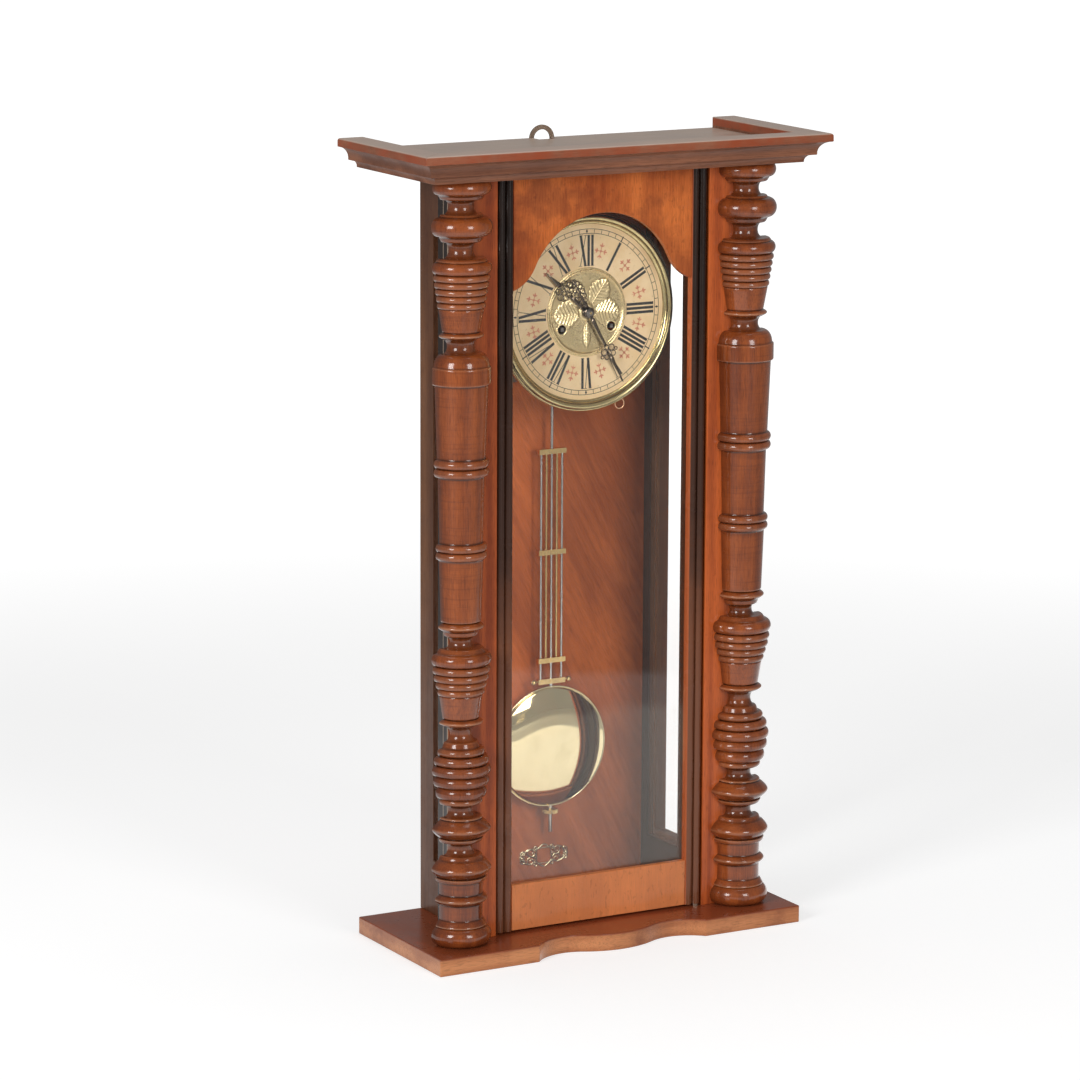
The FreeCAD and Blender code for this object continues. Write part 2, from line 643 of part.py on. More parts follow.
def bracket_screw_spots():
    height = plate_low - d.flange_high / 2 - d.seat_thick / 2
    return [(sign * d.seat_half, height) for sign in (-1, 1)]


def hanger():
    """The steel hanging plate, let into the back, and the screws of plate and bracket."""
    plane = (-d.hanger_thick, size(0))
    ring = rod("hanger_ring", "y", d.hanger_rad, (0, hanger_up), *plane)
    tab = box("hanger_tab", both(d.hanger_rad), plane, (hanger_low, hanger_up))
    hole = rod("hanger_eye", "y", d.hanger_hole, (0, hanger_up), -d.hanger_thick - PAST, PAST)
    holes = [
        rod("hanger_screw_hole%d" % n, "y", d.screw_rad + d.running, (0, z), -d.hanger_thick - PAST, PAST)
        for n, z in enumerate(hanger_screw_heights())
    ]
    keep(cut("hanger_plate", fuse("hanger_blank", ring, tab), hole, *holes), "hanger_plate")
    screws = [
        rod("hanger_screw%d" % n, "y", d.screw_rad, (0, z), -d.hanger_thick - d.screw_long, 0)
        for n, z in enumerate(hanger_screw_heights())
    ]
    face = back_face - d.flange_thick
    for n, spot in enumerate(bracket_screw_spots()):
        shank = rod("bracket_shank%d" % n, "y", d.screw_rad, spot, face, back_face + d.screw_long)
        head = rod("bracket_head%d" % n, "y", d.head_rad, spot, face - d.head_high, face)
        screws.append(fuse("bracket_screw%d" % n, shank, head))
    keep(group("case_screws", *screws), "case_screws")


# The beat plate's lobes on each side of its middle, as shares of its half width and its height
PLAQUE_LOBES = [(0.72, 0.2), (0.72, -0.2), (0.3, 0.24), (0.3, -0.24)]


def beat_plate():
    """The pierced brass plate at the foot of the back board, with generic scroll lobes."""
    half, high, up = d.plaque_half, d.plaque_high, case_low + d.plaque_rise
    deep = (back_face - d.plaque_thick, back_face)
    spots = [(side * u * half, up + v * high) for side in (-1, 1) for u, v in PLAQUE_LOBES]
    crests = [(size(0), up + side * (high / 2 - d.plaque_lobe)) for side in (-1, 1)]
    tips = [(side * (half - d.plaque_tip), up) for side in (-1, 1)]
    wide, rise = PLAQUE_LOBES[0]
    parts = [box("plaque_bar", both(half * wide), deep, (up - high * rise, up + high * rise))]
    for n, spot in enumerate(spots + crests):
        parts.append(rod("plaque_lobe%d" % n, "y", d.plaque_lobe, spot, *deep))
    for n, spot in enumerate(tips):
        parts.append(rod("plaque_tip%d" % n, "y", d.plaque_tip, spot, *deep))
    holes = [
        rod("plaque_hole%d" % n, "y", d.plaque_pierce, spot, deep[0] - PAST, deep[1] + PAST)
        for n, spot in enumerate(spots)
    ]
    keep(cut("beat_plate", fuse("plaque_blank", *parts), *holes), "beat_plate")


# Points measured on each half turn of the gong
GONG_STEPS = 40


def gong():
    """The coiled wire gong on its iron block: half circles about two centres, each half a pitch larger."""
    wire, pitch, start = float(d.gong_wire), float(d.gong_pitch), float(d.gong_in)
    count = int(float(d.gong_halves))
    depth, up = -float(gong_depth), float(gong_up)
    foot = Vector(start, depth, up - float(d.gong_tail))
    first = Vector(start, depth, up)
    edges = [Part.LineSegment(foot, first).toShape()]
    points = [first]
    for n in range(count):
        radius = start + n * pitch / 2
        centre = Vector(0 if n % 2 == 0 else pitch / 2, depth, up)
        way = 1 if n % 2 == 0 else -1
        reach, rise = Vector(way * radius, 0, 0), Vector(0, 0, way * radius)
        edges.append(Part.Arc(centre + reach, centre + rise, centre - reach).toShape())
        for step in range(1, GONG_STEPS + 1):
            angle = math.pi * step / GONG_STEPS
            points.append(centre + reach * math.cos(angle) + rise * math.sin(angle))
    section = Part.Wire(Part.Circle(foot, Vector(0, 0, 1), wire).toShape())
    coil = Part.Wire(edges).makePipeShell([section], True, False)
    gap = min((a - b).Length for n, a in enumerate(points) for b in points[n + GONG_STEPS:]) - 2 * wire
    print("gong coil: %d half turns, least gap to itself %.2f mm" % (count, gap))
    keep(shaped("gong_coil", coil), "gong_coil")
    right, top = d.gong_in + d.block_past, gong_up - d.gong_tail
    face = -gong_depth - d.gong_wire - d.block_wall
    across, upright = (right - d.block_wide, right), (top - d.block_high, top)
    keep(box("gong_block", across, (face, back_face), upright), "gong_block")


def movement_bracket():
    """The iron seat that carries the movement: a flange on the back board and two arms."""
    low = plate_low - d.seat_thick
    face = back_face - d.flange_thick
    half = d.seat_wide / 2
    deep, reach = (face, back_face), (-plate_front, face)
    flange = box("bracket_flange", both(d.seat_half + half), deep, (plate_low - d.flange_high, plate_low))
    arms = []
    for n, middle in enumerate(both(d.seat_half)):
        arms.append(box("bracket_arm%d" % n, (middle - half, middle + half), reach, (low, plate_low)))
    holes = [
        rod("bracket_hole%d" % n, "y", d.screw_rad + d.running, spot, face - PAST, back_face + PAST)
        for n, spot in enumerate(bracket_screw_spots())
    ]
    keep(cut("movement_bracket", fuse("bracket_blank", flange, *arms), *holes), "movement_bracket")


# Arbor places in the movement, as (x, z)
centre_spot = (size(0), dial_up)
time_spot = (-d.wind_out, dial_up - d.wind_drop)
strike_spot = (d.wind_out, dial_up - d.wind_drop)
escape_spot = (size(0), dial_up + d.escape_up)
anchor_spot = (size(0), dial_up + d.anchor_up)
minute_drop = (d.cannon_leaves + d.minute_teeth) * d.motion_module / 2
minute_spot = (size(0), dial_up - minute_drop)
hammer_spot = (d.hammer_out, dial_up + d.hammer_up)
trip_spot = (d.trip_out, dial_up - d.trip_drop)


def third_place():
    """Where the third arbor meshes with both the centre wheel and the escape pinion."""
    leaves = float(d.pinion_leaves)
    one = (float(d.centre_teeth) + leaves) * float(d.centre_module) / 2
    two = (float(d.third_teeth) + leaves) * float(d.third_module) / 2
    span = float(d.escape_up)
    along = (one ** 2 - two ** 2 + span ** 2) / (2 * span)
    return size(math.sqrt(one ** 2 - along ** 2)), dial_up + along


third_spot = third_place()
pin_reach = (d.strike_teeth + d.pin_leaves) * d.strike_module / 2
pin_angle = math.radians(float(d.pin_wheel_turn))
pin_spot = (
    strike_spot[0] + pin_reach * math.sin(pin_angle),
    strike_spot[1] + pin_reach * math.cos(pin_angle),
)

# The great wheel's module brings it into mesh with the centre pinion
great_reach = math.hypot(float(d.wind_out), float(d.wind_drop))
great_module = 2 * great_reach / (float(d.great_teeth) + float(d.pinion_leaves))

# Planes of the movement, as y
plate_rear = -plate_front + d.plate_thick
back_plate_front = plate_rear + d.plate_gap
back_plate_rear = back_plate_front + d.plate_thick
front_out, front_in = -float(plate_front), float(plate_rear + d.end_play)
rear_in, rear_out = float(back_plate_front - d.end_play), float(back_plate_rear)
escape_at = front_in + float(d.escape_layer)
crutch_at = rear_out + float(d.crutch_gap)

# Slim teeth: root and tip in modules from the pitch circle, half widths there as shares of the pitch
TOOTH_ROOT, TOOTH_TIP = 1.0, 0.6
ROOT_SHARE, TIP_SHARE = 0.18, 0.07


def towards(one, other):
    """The clockwise angle from straight up of the way from one spot to another."""
    return math.atan2(float(other[0]) - float(one[0]), float(other[1]) - float(one[1]))


def around(spot, radius, angle, depth):
    """The point at a radius and a clockwise angle from straight up about a spot."""
    return Vector(float(spot[0]) + radius * math.sin(angle), depth, float(spot[1]) + radius * math.cos(angle))


def toothed(spot, start, thick, teeth, form, phase=0.0):
    """A disc about y whose teeth repeat a form of (radius, share of the pitch) corners."""
    count = int(round(float(teeth)))
    pitch = 2 * math.pi / count
    points = []
    for n in range(count):
        points += [around(spot, radius, phase + (n + share) * pitch, start) for radius, share in form]
    return Part.Face(Part.makePolygon(points + points[:1])).extrude(Vector(0, thick, 0))


def root_radius(teeth, module):
    return float(module) * (float(teeth) / 2 - TOOTH_ROOT)


def gear(spot, start, thick, teeth, module, phase):
    """A gear with slim straight-sided teeth: a tooth's middle stands at the phase angle."""
    root = root_radius(teeth, module)
    tip = float(module) * (float(teeth) / 2 + TOOTH_TIP)
    form = [(root, -ROOT_SHARE), (tip, -TIP_SHARE), (tip, TIP_SHARE), (root, ROOT_SHARE)]
    return toothed(spot, start, thick, teeth, form, phase)


def pinion(spot, start, thick, leaves, module, back):
    """A pinion wider than its wheel, with a gap between leaves turned towards that wheel."""
    over = float(d.pinion_over)
    return gear(spot, start - over, thick + 2 * over, leaves, module, back + math.pi / float(leaves))


def bar(spot, radius, start, end):
    """A plain cylinder along y."""
    place_at = Vector(float(spot[0]), float(start), float(spot[1]))
    return Part.makeCylinder(float(radius), float(end) - float(start), place_at, Vector(0, 1, 0))


def spoked(disc, spot, start, thick, rim):
    """Opens a wheel inside its rim's radius, and puts back its hub and spokes."""
    ring = disc.cut(bar(spot, rim, start - PAST, start + thick + PAST))
    parts = [bar(spot, d.wheel_hub, start, start + thick)]
    wide, count = float(d.spoke_wide), int(float(d.spoke_count))
    for n in range(count):
        tip = around(spot, rim + thick / 4, 2 * math.pi * n / count, start)
        parts.append(strip(spot, tip, wide, start, thick))
    return ring.multiFuse(parts).removeSplitter()


def strip(one, other, wide, start, thick):
    """A flat bar from one spot to another, or to a point's x and z."""
    goal = (other.x, other.z) if isinstance(other, Vector) else other
    length = math.hypot(float(goal[0]) - float(one[0]), float(goal[1]) - float(one[1]))
    flat = Part.makeBox(wide, thick, length, Vector(-wide / 2, float(start), 0))
    flat.rotate(Vector(), Vector(0, 1, 0), math.degrees(towards(one, goal)))
    flat.translate(Vector(float(one[0]), 0, float(one[1])))
    return flat


def joined(*shapes):
    return shapes[0].multiFuse(list(shapes[1:])).removeSplitter()


def arbor(spot, end=rear_out):
    """A steel arbor between the plates, with a finer pivot through each."""
    return [bar(spot, d.arbor_rad, front_in, rear_in), bar(spot, d.pivot_rad, front_out, end)]


def barrel(name, spot, start, wheel, wheel_at, drum, lid):
    """A spring barrel: its great wheel, drum and lid, bored for the winding arbor."""
    thick = float(d.wheel_thick)
    parts = [wheel, bar(spot, d.drum_rad, *drum), bar(spot, d.drum_rad + d.lid_past, lid, lid + thick)]
    ends = (min(start, drum[0]) - PAST, max(wheel_at + 2 * thick, drum[1]) + PAST)
    bore = bar(spot, d.wind_arbor_rad + d.running, *ends)
    keep(shaped(name, joined(*parts).cut(bore)), name)


def going_train():
    """Barrel, centre, third and escape wheels, each in mesh with the next."""
    leaves, thick = d.pinion_leaves, float(d.wheel_thick)
    great_at, great_thick = front_in + float(d.barrel_clear), 2 * thick
    to_centre = towards(time_spot, centre_spot)
    drum = (great_at + great_thick, great_at + great_thick + float(d.drum_deep))
    wheel = gear(time_spot, great_at, great_thick, d.great_teeth, great_module, to_centre)
    barrel("time_barrel", time_spot, great_at, wheel, great_at, drum, drum[1] - thick)

    wheel_at = drum[1] + float(d.layer_gap)
    to_third = towards(centre_spot, third_spot)
    wheel = gear(centre_spot, wheel_at, thick, d.centre_teeth, d.centre_module, to_third)
    rim = root_radius(d.centre_teeth, d.centre_module) - float(d.wheel_rim)
    centre = joined(
        bar(centre_spot, d.arbor_rad, -float(nut_front) + float(d.end_play), rear_in),
        bar(centre_spot, d.pivot_rad, rear_in, rear_out),
        pinion(centre_spot, great_at, great_thick, leaves, great_module, to_centre + math.pi),
        spoked(wheel, centre_spot, wheel_at, thick, rim),
    )
    keep(shaped("centre_wheel", centre), "centre_wheel")

    third_at = wheel_at + thick + float(d.layer_gap)
    to_escape = towards(third_spot, escape_spot)
    wheel = gear(third_spot, third_at, thick, d.third_teeth, d.third_module, to_escape)
    rim = root_radius(d.third_teeth, d.third_module) - float(d.wheel_rim)
    third = joined(
        *arbor(third_spot),
        pinion(third_spot, wheel_at, thick, leaves, d.centre_module, to_third + math.pi),
        spoked(wheel, third_spot, third_at, thick, rim),
    )
    keep(shaped("third_wheel", third), "third_wheel")

    escape = joined(
        *arbor(escape_spot),
        pinion(escape_spot, third_at, thick, leaves, d.third_module, to_escape + math.pi),
        escape_rim(thick),
    )
    keep(shaped("escape_wheel", escape), "escape_wheel")


# The escape wheel's raked tooth and the ratchet's saw tooth: corners as shares of the pitch
ESCAPE_TIP, ESCAPE_BACK, ESCAPE_ROOT = 0.09, 0.34, 0.9
RATCHET_FACE = 0.06


def escape_rim(thick):
    """The dead-beat wheel: raked, pointed teeth on a spoked rim."""
    tip = float(d.escape_rad)
    root = tip - float(d.escape_deep)
    form = [(tip, 0.0), (tip, ESCAPE_TIP), (root, ESCAPE_BACK), (root, ESCAPE_ROOT)]
    disc = toothed(escape_spot, escape_at, thick, d.escape_teeth, form)
    return spoked(disc, escape_spot, escape_at, thick, root - float(d.escape_rim))


def strike_train():
    """The strike barrel and its pin wheel."""
    thick = float(d.wheel_thick)
    drum_at = front_in + float(d.barrel_clear)
    great_at, great_thick = drum_at + float(d.drum_deep), 2 * thick
    to_pin = towards(strike_spot, pin_spot)
    wheel = gear(strike_spot, great_at, great_thick, d.strike_teeth, d.strike_module, to_pin)
    barrel("strike_barrel", strike_spot, drum_at, wheel, great_at, (drum_at, great_at), drum_at)

    wheel_at = great_at + great_thick + float(d.layer_gap)
    rim, inner = float(d.pin_wheel_rad), float(d.pin_wheel_rad - d.wheel_rim)
    face = wheel_at + thick
    pins = []
    for n in range(int(float(d.pin_count))):
        spot = around(pin_spot, (rim + inner) / 2, 2 * math.pi * n / float(d.pin_count), face)
        pins.append(bar((spot.x, spot.z), d.lift_pin_rad, face, face + float(d.lift_pin_long)))
    wheel = joined(
        *arbor(pin_spot),
        pinion(pin_spot, great_at, great_thick, d.pin_leaves, d.strike_module, to_pin + math.pi),
        spoked(bar(pin_spot, rim, wheel_at, face), pin_spot, wheel_at, thick, inner),
        *pins,
    )
    keep(shaped("pin_wheel", wheel), "pin_wheel")


def winding_arbors():
    """Each barrel's arbor: a squared end in the dial, the ratchet before the front plate and a rear pivot."""
    tip = float(d.ratchet_rad)
    form = [(tip, 0.0), (tip - float(d.ratchet_deep), RATCHET_FACE)]
    ratchet_at = front_out - float(d.ratchet_gap + d.ratchet_thick)
    face = -float(dial_face + d.square_proud)
    shank_end = face + float(d.square_long)
    wide = float(d.wind_square)
    for name, spot in (("time", time_spot), ("strike", strike_spot)):
        corner = Vector(float(spot[0]) - wide / 2, face, float(spot[1]) - wide / 2)
        whole = joined(
            bar(spot, d.wind_arbor_rad, shank_end, rear_in),
            Part.makeBox(wide, shank_end - face, wide, corner),
            bar(spot, d.pivot_rad, rear_in, rear_out),
            toothed(spot, ratchet_at, float(d.ratchet_thick), d.ratchet_teeth, form),
        )
        keep(shaped(name + "_winding_arbor", whole), name + "_winding_arbor")


def hammer():
    """The hammer: an arbor through both plates, and an arm behind them with a head beside the gong."""
    thick = float(d.hammer_arm_thick)
    gong_edge = d.gong_in + d.gong_pitch * (d.gong_halves - 1) / 2 + d.gong_wire
    rest = (gong_edge + d.hammer_rad + d.hammer_gap, gong_up + d.hammer_above)
    whole = joined(
        *arbor(hammer_spot, crutch_at),
        bar(hammer_spot, d.hammer_hub, crutch_at, crutch_at + thick),
        strip(hammer_spot, rest, float(d.hammer_arm), crutch_at, thick),
        bar(rest, d.hammer_rad, crutch_at, -float(gong_depth) + float(d.hammer_past)),
    )
    keep(shaped("hammer", whole), "hammer")


# How far up the escape wheel the pallets hang, as a share of its radius
PALLET_SHARE = 0.6


def anchor():
    """Pallets, arbor and crutch, rocking on the pendulum's own axis."""
    over = float(d.pallet_over)
    at, thick = escape_at - over, float(d.wheel_thick) + 2 * over
    hub_end = crutch_at + float(d.crutch_hub_long)
    parts = [
        *arbor(anchor_spot, hub_end),
        bar(anchor_spot, d.pallet_hub, at, at + thick),
        bar(anchor_spot, d.crutch_hub, crutch_at, hub_end),
    ]
    tip, wide, long = float(d.escape_rad), float(d.pallet_wide), float(d.pallet_long)
    low = float(escape_spot[1]) + tip * PALLET_SHARE
    for sign in (-1, 1):
        middle = sign * (tip + float(d.pallet_clear))
        parts.append(strip(anchor_spot, (middle, low + long - wide / 2), float(d.pallet_arm), at, thick))
        parts.append(Part.makeBox(wide, thick, long, Vector(middle - wide / 2, at, low)))
    foot = float(anchor_spot[1]) - float(d.crutch_long)
    parts.append(strip(anchor_spot, (0, foot), float(d.crutch_wide), crutch_at, float(d.crutch_thick)))
    gap, wall, high = float(d.hook_rad + d.fork_play), float(d.fork_wall), float(d.fork_high)
    outer = gap + wall
    parts.append(Part.makeBox(2 * outer, float(d.crutch_thick), high, Vector(-outer, crutch_at, foot)))
    reach = float(d.hook_rad + d.crutch_thick - swing_depth) - crutch_at
    for corner in (-outer, gap):
        parts.append(Part.makeBox(wall, reach, high, Vector(corner, crutch_at, foot)))
    keep(shaped("anchor", joined(*parts)), "anchor")


def plate_holes(name, start, end):
    """One plate's pivot holes, each with its running clearance."""
    ahead = name == "front"
    holes = [(spot, d.pivot_rad) for spot in (third_spot, escape_spot, anchor_spot, pin_spot, hammer_spot)]
    holes += [(spot, d.wind_arbor_rad if ahead else d.pivot_rad) for spot in (time_spot, strike_spot)]
    holes.append((centre_spot, d.arbor_rad if ahead else d.pivot_rad))
    return [
        rod("%s_hole%d" % (name, n), "y", radius + d.running, spot, start - PAST, end + PAST)
        for n, (spot, radius) in enumerate(holes)
    ]


def movement_frame():
    """The two brass plates with their pivot holes and studs, and the pillars between them."""
    across, upright = both(d.plate_half), (plate_low, plate_top)
    face = -plate_front
    slab = box("front_plate_slab", across, (face, plate_rear), upright)
    blank = cut("front_blank", slab, *plate_holes("front", face, plate_rear))
    tip = face - d.trip_stand - 2 * d.trip_wire
    studs = [
        rod("minute_stud", "y", d.pivot_rad, minute_spot, face - d.stud_long, face),
        rod("trip_stud", "y", d.pivot_rad, trip_spot, tip, face),
        rod("trip_stud_head", "y", d.pivot_rad + d.stud_head, trip_spot, tip - d.stud_head, tip),
    ]
    keep(fuse("front_plate", blank, *studs), "front_plate")
    slab = box("back_plate_slab", across, (back_plate_front, back_plate_rear), upright)
    keep(cut("back_plate", slab, *plate_holes("back", back_plate_front, back_plate_rear)), "back_plate")
    heights = (plate_low + d.pillar_in, plate_top - d.pillar_in)
    spots = [(x, z) for x in both(d.plate_half - d.pillar_in) for z in heights]
    pillars = [
        rod("pillar%d" % n, "y", d.pillar_rad, spot, plate_rear, back_plate_front)
        for n, spot in enumerate(spots)
    ]
    keep(group("plate_pillars", *pillars), "plate_pillars")


def suspension_cock():
    """The bracket behind the back plate whose two cheeks carry the suspension pin."""
    half, wall = d.cock_half, d.cock_wall
    slot = d.spring_wide / 2 + d.cock_play
    front_cheek = (-swing_depth - slot - d.cock_cheek, -swing_depth - slot)
    rear_cheek = (-swing_depth + slot, -swing_depth + slot + d.cock_cheek)
    span = (anchor_spot[1] - d.cock_down, anchor_spot[1] + d.cock_up)
    reach = (back_plate_rear, rear_cheek[1])
    parts = [
        box("cock_front", both(half), front_cheek, span), box("cock_rear", both(half), rear_cheek, span),
        box("cock_left", (-half, wall - half), reach, span),
        box("cock_right", (half - wall, half), reach, span),
    ]
    bore = d.spring_pin + d.running
    hole = rod("cock_bore", "y", bore, anchor_spot, front_cheek[0] - PAST, rear_cheek[1] + PAST)
    keep(cut("suspension_cock", fuse("cock_blank", *parts), hole), "suspension_cock")


# Planes of the dial and hands, as y, and how far the nut stands from the wall
face_y = -dial_face
pan_front = face_y + d.dial_thick
pan_rear = pan_front + d.pan_thick
hour_front = dial_face + d.hour_lift + d.hand_thick
minute_front = hour_front + d.hand_gap + d.hand_thick
nut_front = minute_front + d.nut_long


def dial():
    """Pan with its feet, printed chapter ring and pressed brass centre."""
    wind_spots = (time_spot, strike_spot)
    blank = turned("pan_blank", "y", rectangle((d.dial_bore, d.pan_rad), (pan_front, pan_rear)), centre_spot)
    spots = [(x, dial_up + rise) for x in both(d.foot_out) for rise in both(d.foot_up)]
    feet = [
        rod("dial_foot%d" % n, "y", d.foot_rad, spot, pan_rear, -plate_front)
        for n, spot in enumerate(spots)
    ]
    holes = [
        rod("pan_wind%d" % n, "y", d.wind_hole + d.dial_play, spot, pan_front - PAST, pan_rear + PAST)
        for n, spot in enumerate(wind_spots)
    ]
    keep(fuse("dial_pan", cut("pan_holed", blank, *holes), *feet), "dial_pan")
    section = rectangle((d.centre_rad + d.dial_play, d.pan_rad - d.dial_margin), (face_y, pan_front))
    keep(turned("chapter_ring", "y", section, centre_spot), "chapter_ring")
    bore, boss = d.dial_bore, d.dial_bore + d.boss_wide
    relief = face_y - d.relief_high
    corners = [
        (bore, pan_front), (bore, relief - d.boss_high), (boss, relief - d.boss_high),
        (boss + d.boss_high, relief),
        (d.centre_rad - d.boss_ring, relief), (d.centre_rad, relief, d.boss_ring / 2 * SLACK, 1),
        (d.centre_rad, pan_front),
    ]
    blank = turned("centre_blank", "y", corners, centre_spot)
    collars = [
        rod("wind_collar%d" % n, "y", d.wind_hole + d.collar_wall, spot, relief - d.collar_high, pan_front)
        for n, spot in enumerate(wind_spots)
    ]
    holes = [
        rod("wind_hole%d" % n, "y", d.wind_hole, spot, relief - d.collar_high - PAST, pan_front + PAST)
        for n, spot in enumerate(wind_spots)
    ]
    keep(cut("dial_centre", fuse("centre_relief", blank, *collars), *holes), "dial_centre")


def bezel():
    """The turned brass bezel: a plain skirt, a rolled rim, a shoulder and a cove down to the dial."""
    outer, lip = d.pan_rad + d.bezel_past, d.pan_rad - d.bezel_over
    rim, inner = outer - d.bezel_lip, d.pan_rad + d.dial_play
    back = face_y + d.bezel_sink
    roll = back - d.bezel_skirt
    crest = face_y - d.bezel_rise
    corners = [
        (inner, back), (rim, back), (rim, roll),
        (rim, roll - d.bezel_roll, bow_radius(d.bezel_roll, d.bezel_lip), -1),
        (outer - d.bezel_crest, crest, d.bezel_shoulder, -1),
        (lip, face_y - d.bezel_edge, d.bezel_cove, 1), (lip, pan_front), (inner, pan_front),
    ]
    keep(turned("bezel", "y", corners, centre_spot), "bezel")


def motion_work():
    """Cannon, minute and hour wheels in front of the front plate: one turn in twelve for the hour hand."""
    gap, thick, over = float(d.motion_gap), float(d.wheel_thick), float(d.pinion_over)
    cannon_at, cannon_thick = front_out - gap, float(d.cannon_thick)
    hour_at, wheel_at = cannon_at - gap, cannon_at + over
    module = d.motion_module
    hour_module = 2 * float(minute_drop) / (float(d.minute_leaves) + float(d.hour_teeth))
    down, back = towards(centre_spot, minute_spot), towards(minute_spot, centre_spot)
    pipe_end = -float(minute_front)
    cannon = joined(
        gear(centre_spot, cannon_at, cannon_thick, d.cannon_leaves, module, down),
        bar(centre_spot, d.cannon_pipe, pipe_end, cannon_at + cannon_thick),
    )
    bore = bar(centre_spot, d.arbor_rad + d.running, pipe_end - PAST, front_out)
    keep(shaped("cannon_pinion", cannon.cut(bore)), "cannon_pinion")
    minute = joined(
        gear(minute_spot, wheel_at, thick, d.minute_teeth, module, back + math.pi / float(d.minute_teeth)),
        gear(minute_spot, hour_at - over, wheel_at - hour_at + over, d.minute_leaves, hour_module, back),
    )
    bore = bar(minute_spot, d.pivot_rad + d.running, hour_at - gap, front_out)
    keep(shaped("minute_wheel", minute.cut(bore)), "minute_wheel")
    pipe_end = -float(hour_front)
    hour = joined(
        gear(centre_spot, hour_at, thick, d.hour_teeth, hour_module, down + math.pi / float(d.hour_teeth)),
        bar(centre_spot, d.hour_pipe, pipe_end, hour_at + thick),
    )
    bore = bar(centre_spot, d.cannon_pipe + d.running, pipe_end - PAST, hour_at + thick + PAST)
    keep(shaped("hour_wheel", hour.cut(bore)), "hour_wheel")


def slab(points, start, thick):
    """A flat outline in the dial's plane, as thick as a hand."""
    corners = [Vector(u, start, v) for u, v in points]
    return Part.Face(Part.makePolygon(corners + corners[:1])).extrude(Vector(0, thick, 0))


# A rosette's rings: their places beside and beyond its middle, and their holes, in ring radii
ROSETTE_BESIDE, ROSETTE_ALONG, ROSETTE_ENDS, ROSETTE_HOLE = 0.95, 0.8, 1.9, 0.45


def hand(name, front_plane, pipe, angle, tail=0.0):
    """A pierced hand: boss, slim blade, a rosette of rings and a pointed tip, with any tail."""
    length, rosette, lobe = [
        float(getattr(d, name.split("_")[0] + part)) for part in ("_long", "_rosette", "_lobe")
    ]
    start, thick = -float(front_plane), float(d.hand_thick)
    root, waist, tip = float(d.blade_root), float(d.blade_waist), float(d.blade_tip)
    hub, bore = (0.0, 0.0), float(pipe + d.snug)
    parts = [
        bar(hub, bore + float(d.boss_wall), start, start + thick),
        slab([(-root, 0), (root, 0), (waist, rosette), (-waist, rosette)], start, thick),
        slab([(-waist, rosette), (waist, rosette), (tip, length), (-tip, length)], start, thick),
    ]
    if tail:
        wide, neck = float(d.tail_half), float(d.tail_point) - tail
        parts.append(slab([(-root, 0), (root, 0), (wide, neck), (0, -tail), (-wide, neck)], start, thick))
    rings = [
        (side * lobe * ROSETTE_BESIDE, rosette + up * lobe * ROSETTE_ALONG)
        for side in (-1, 1) for up in (-1, 1)
    ]
    ends = [(0.0, rosette + up * lobe * ROSETTE_ENDS) for up in (-1, 1)]
    parts += [bar(spot, lobe, start, start + thick) for spot in rings + ends]
    through = (start - PAST, start + thick + PAST)
    blank = joined(*parts).cut(bar(hub, bore, *through))
    for spot in rings:
        blank = blank.cut(bar(spot, lobe * ROSETTE_HOLE, *through))
    blank.rotate(Vector(), Vector(0, 1, 0), float(angle))
    blank.translate(Vector(0, 0, float(dial_up)))
    keep(shaped(name, blank), name)


def hands():
    """The two hands, and the nut that holds them on the centre arbor."""
    hand("hour_hand", hour_front, d.hour_pipe, d.hour_angle)
    hand("minute_hand", minute_front, d.cannon_pipe, d.minute_angle, float(d.minute_tail))
    bore, back, tip = d.arbor_rad + d.running, -minute_front, -nut_front
    wide = d.nut_wide
    corners = [(bore, back), (bore, tip), (d.nut_tip, tip), (wide, tip + d.nut_edge), (wide, back)]
    keep(turned("hand_nut", "y", corners, centre_spot), "hand_nut")


def trip_wire():
    """The wire that trips the strike by hand: an eye on its stud and a pull loop below the bezel."""
    wire, loop = float(d.trip_wire), float(d.trip_eye)
    depth = -float(plate_front + d.trip_stand)
    x, top = float(trip_spot[0]), float(trip_spot[1])
    low = top - float(d.trip_long)
    eye_rad = float(d.pivot_rad + d.running) + wire
    eye = Part.makeTorus(eye_rad, wire, Vector(x, depth, top), Vector(0, 1, 0))
    ring = Part.makeTorus(loop, wire, Vector(x, depth, low), Vector(0, 1, 0))
    foot, head = low + loop + wire / 2, top - eye_rad - wire / 2
    stem = Part.makeCylinder(wire, head - foot, Vector(x, depth, foot), Vector(0, 0, 1))
    keep(shaped("trip_wire", joined(stem, eye, ring)), "trip_wire")


def finial(name, sign, depth):
    """A small ball on a neck, turned about x, at one end of the pendulum's foot bar."""
    radius, neck = float(d.finial_rad), float(d.finial_neck)
    ball = radius + float(d.finial_out)
    low, start = Vector(-PAST, 0, 0), Vector(-PAST, neck, 0)
    waist = Vector(ball - math.sqrt(radius ** 2 - neck ** 2), neck, 0)
    crown, tip = Vector(ball, radius, 0), Vector(ball + radius, 0, 0)
    edges = [
        Part.LineSegment(low, start), Part.LineSegment(start, waist), Part.Arc(waist, crown, tip),
        Part.LineSegment(tip, low),
    ]
    profile = Part.Face(Part.Wire([edge.toShape() for edge in edges]))
    knob = shaped(name + "_finial", profile.revolve(Vector(), Vector(1, 0, 0), 360))
    knob.Placement = Placement(Vector(), Rotation(Vector(0, 0, 1), 0 if sign > 0 else 180))
    place(knob, sign * d.bar_half, depth, foot_bar)
    return knob


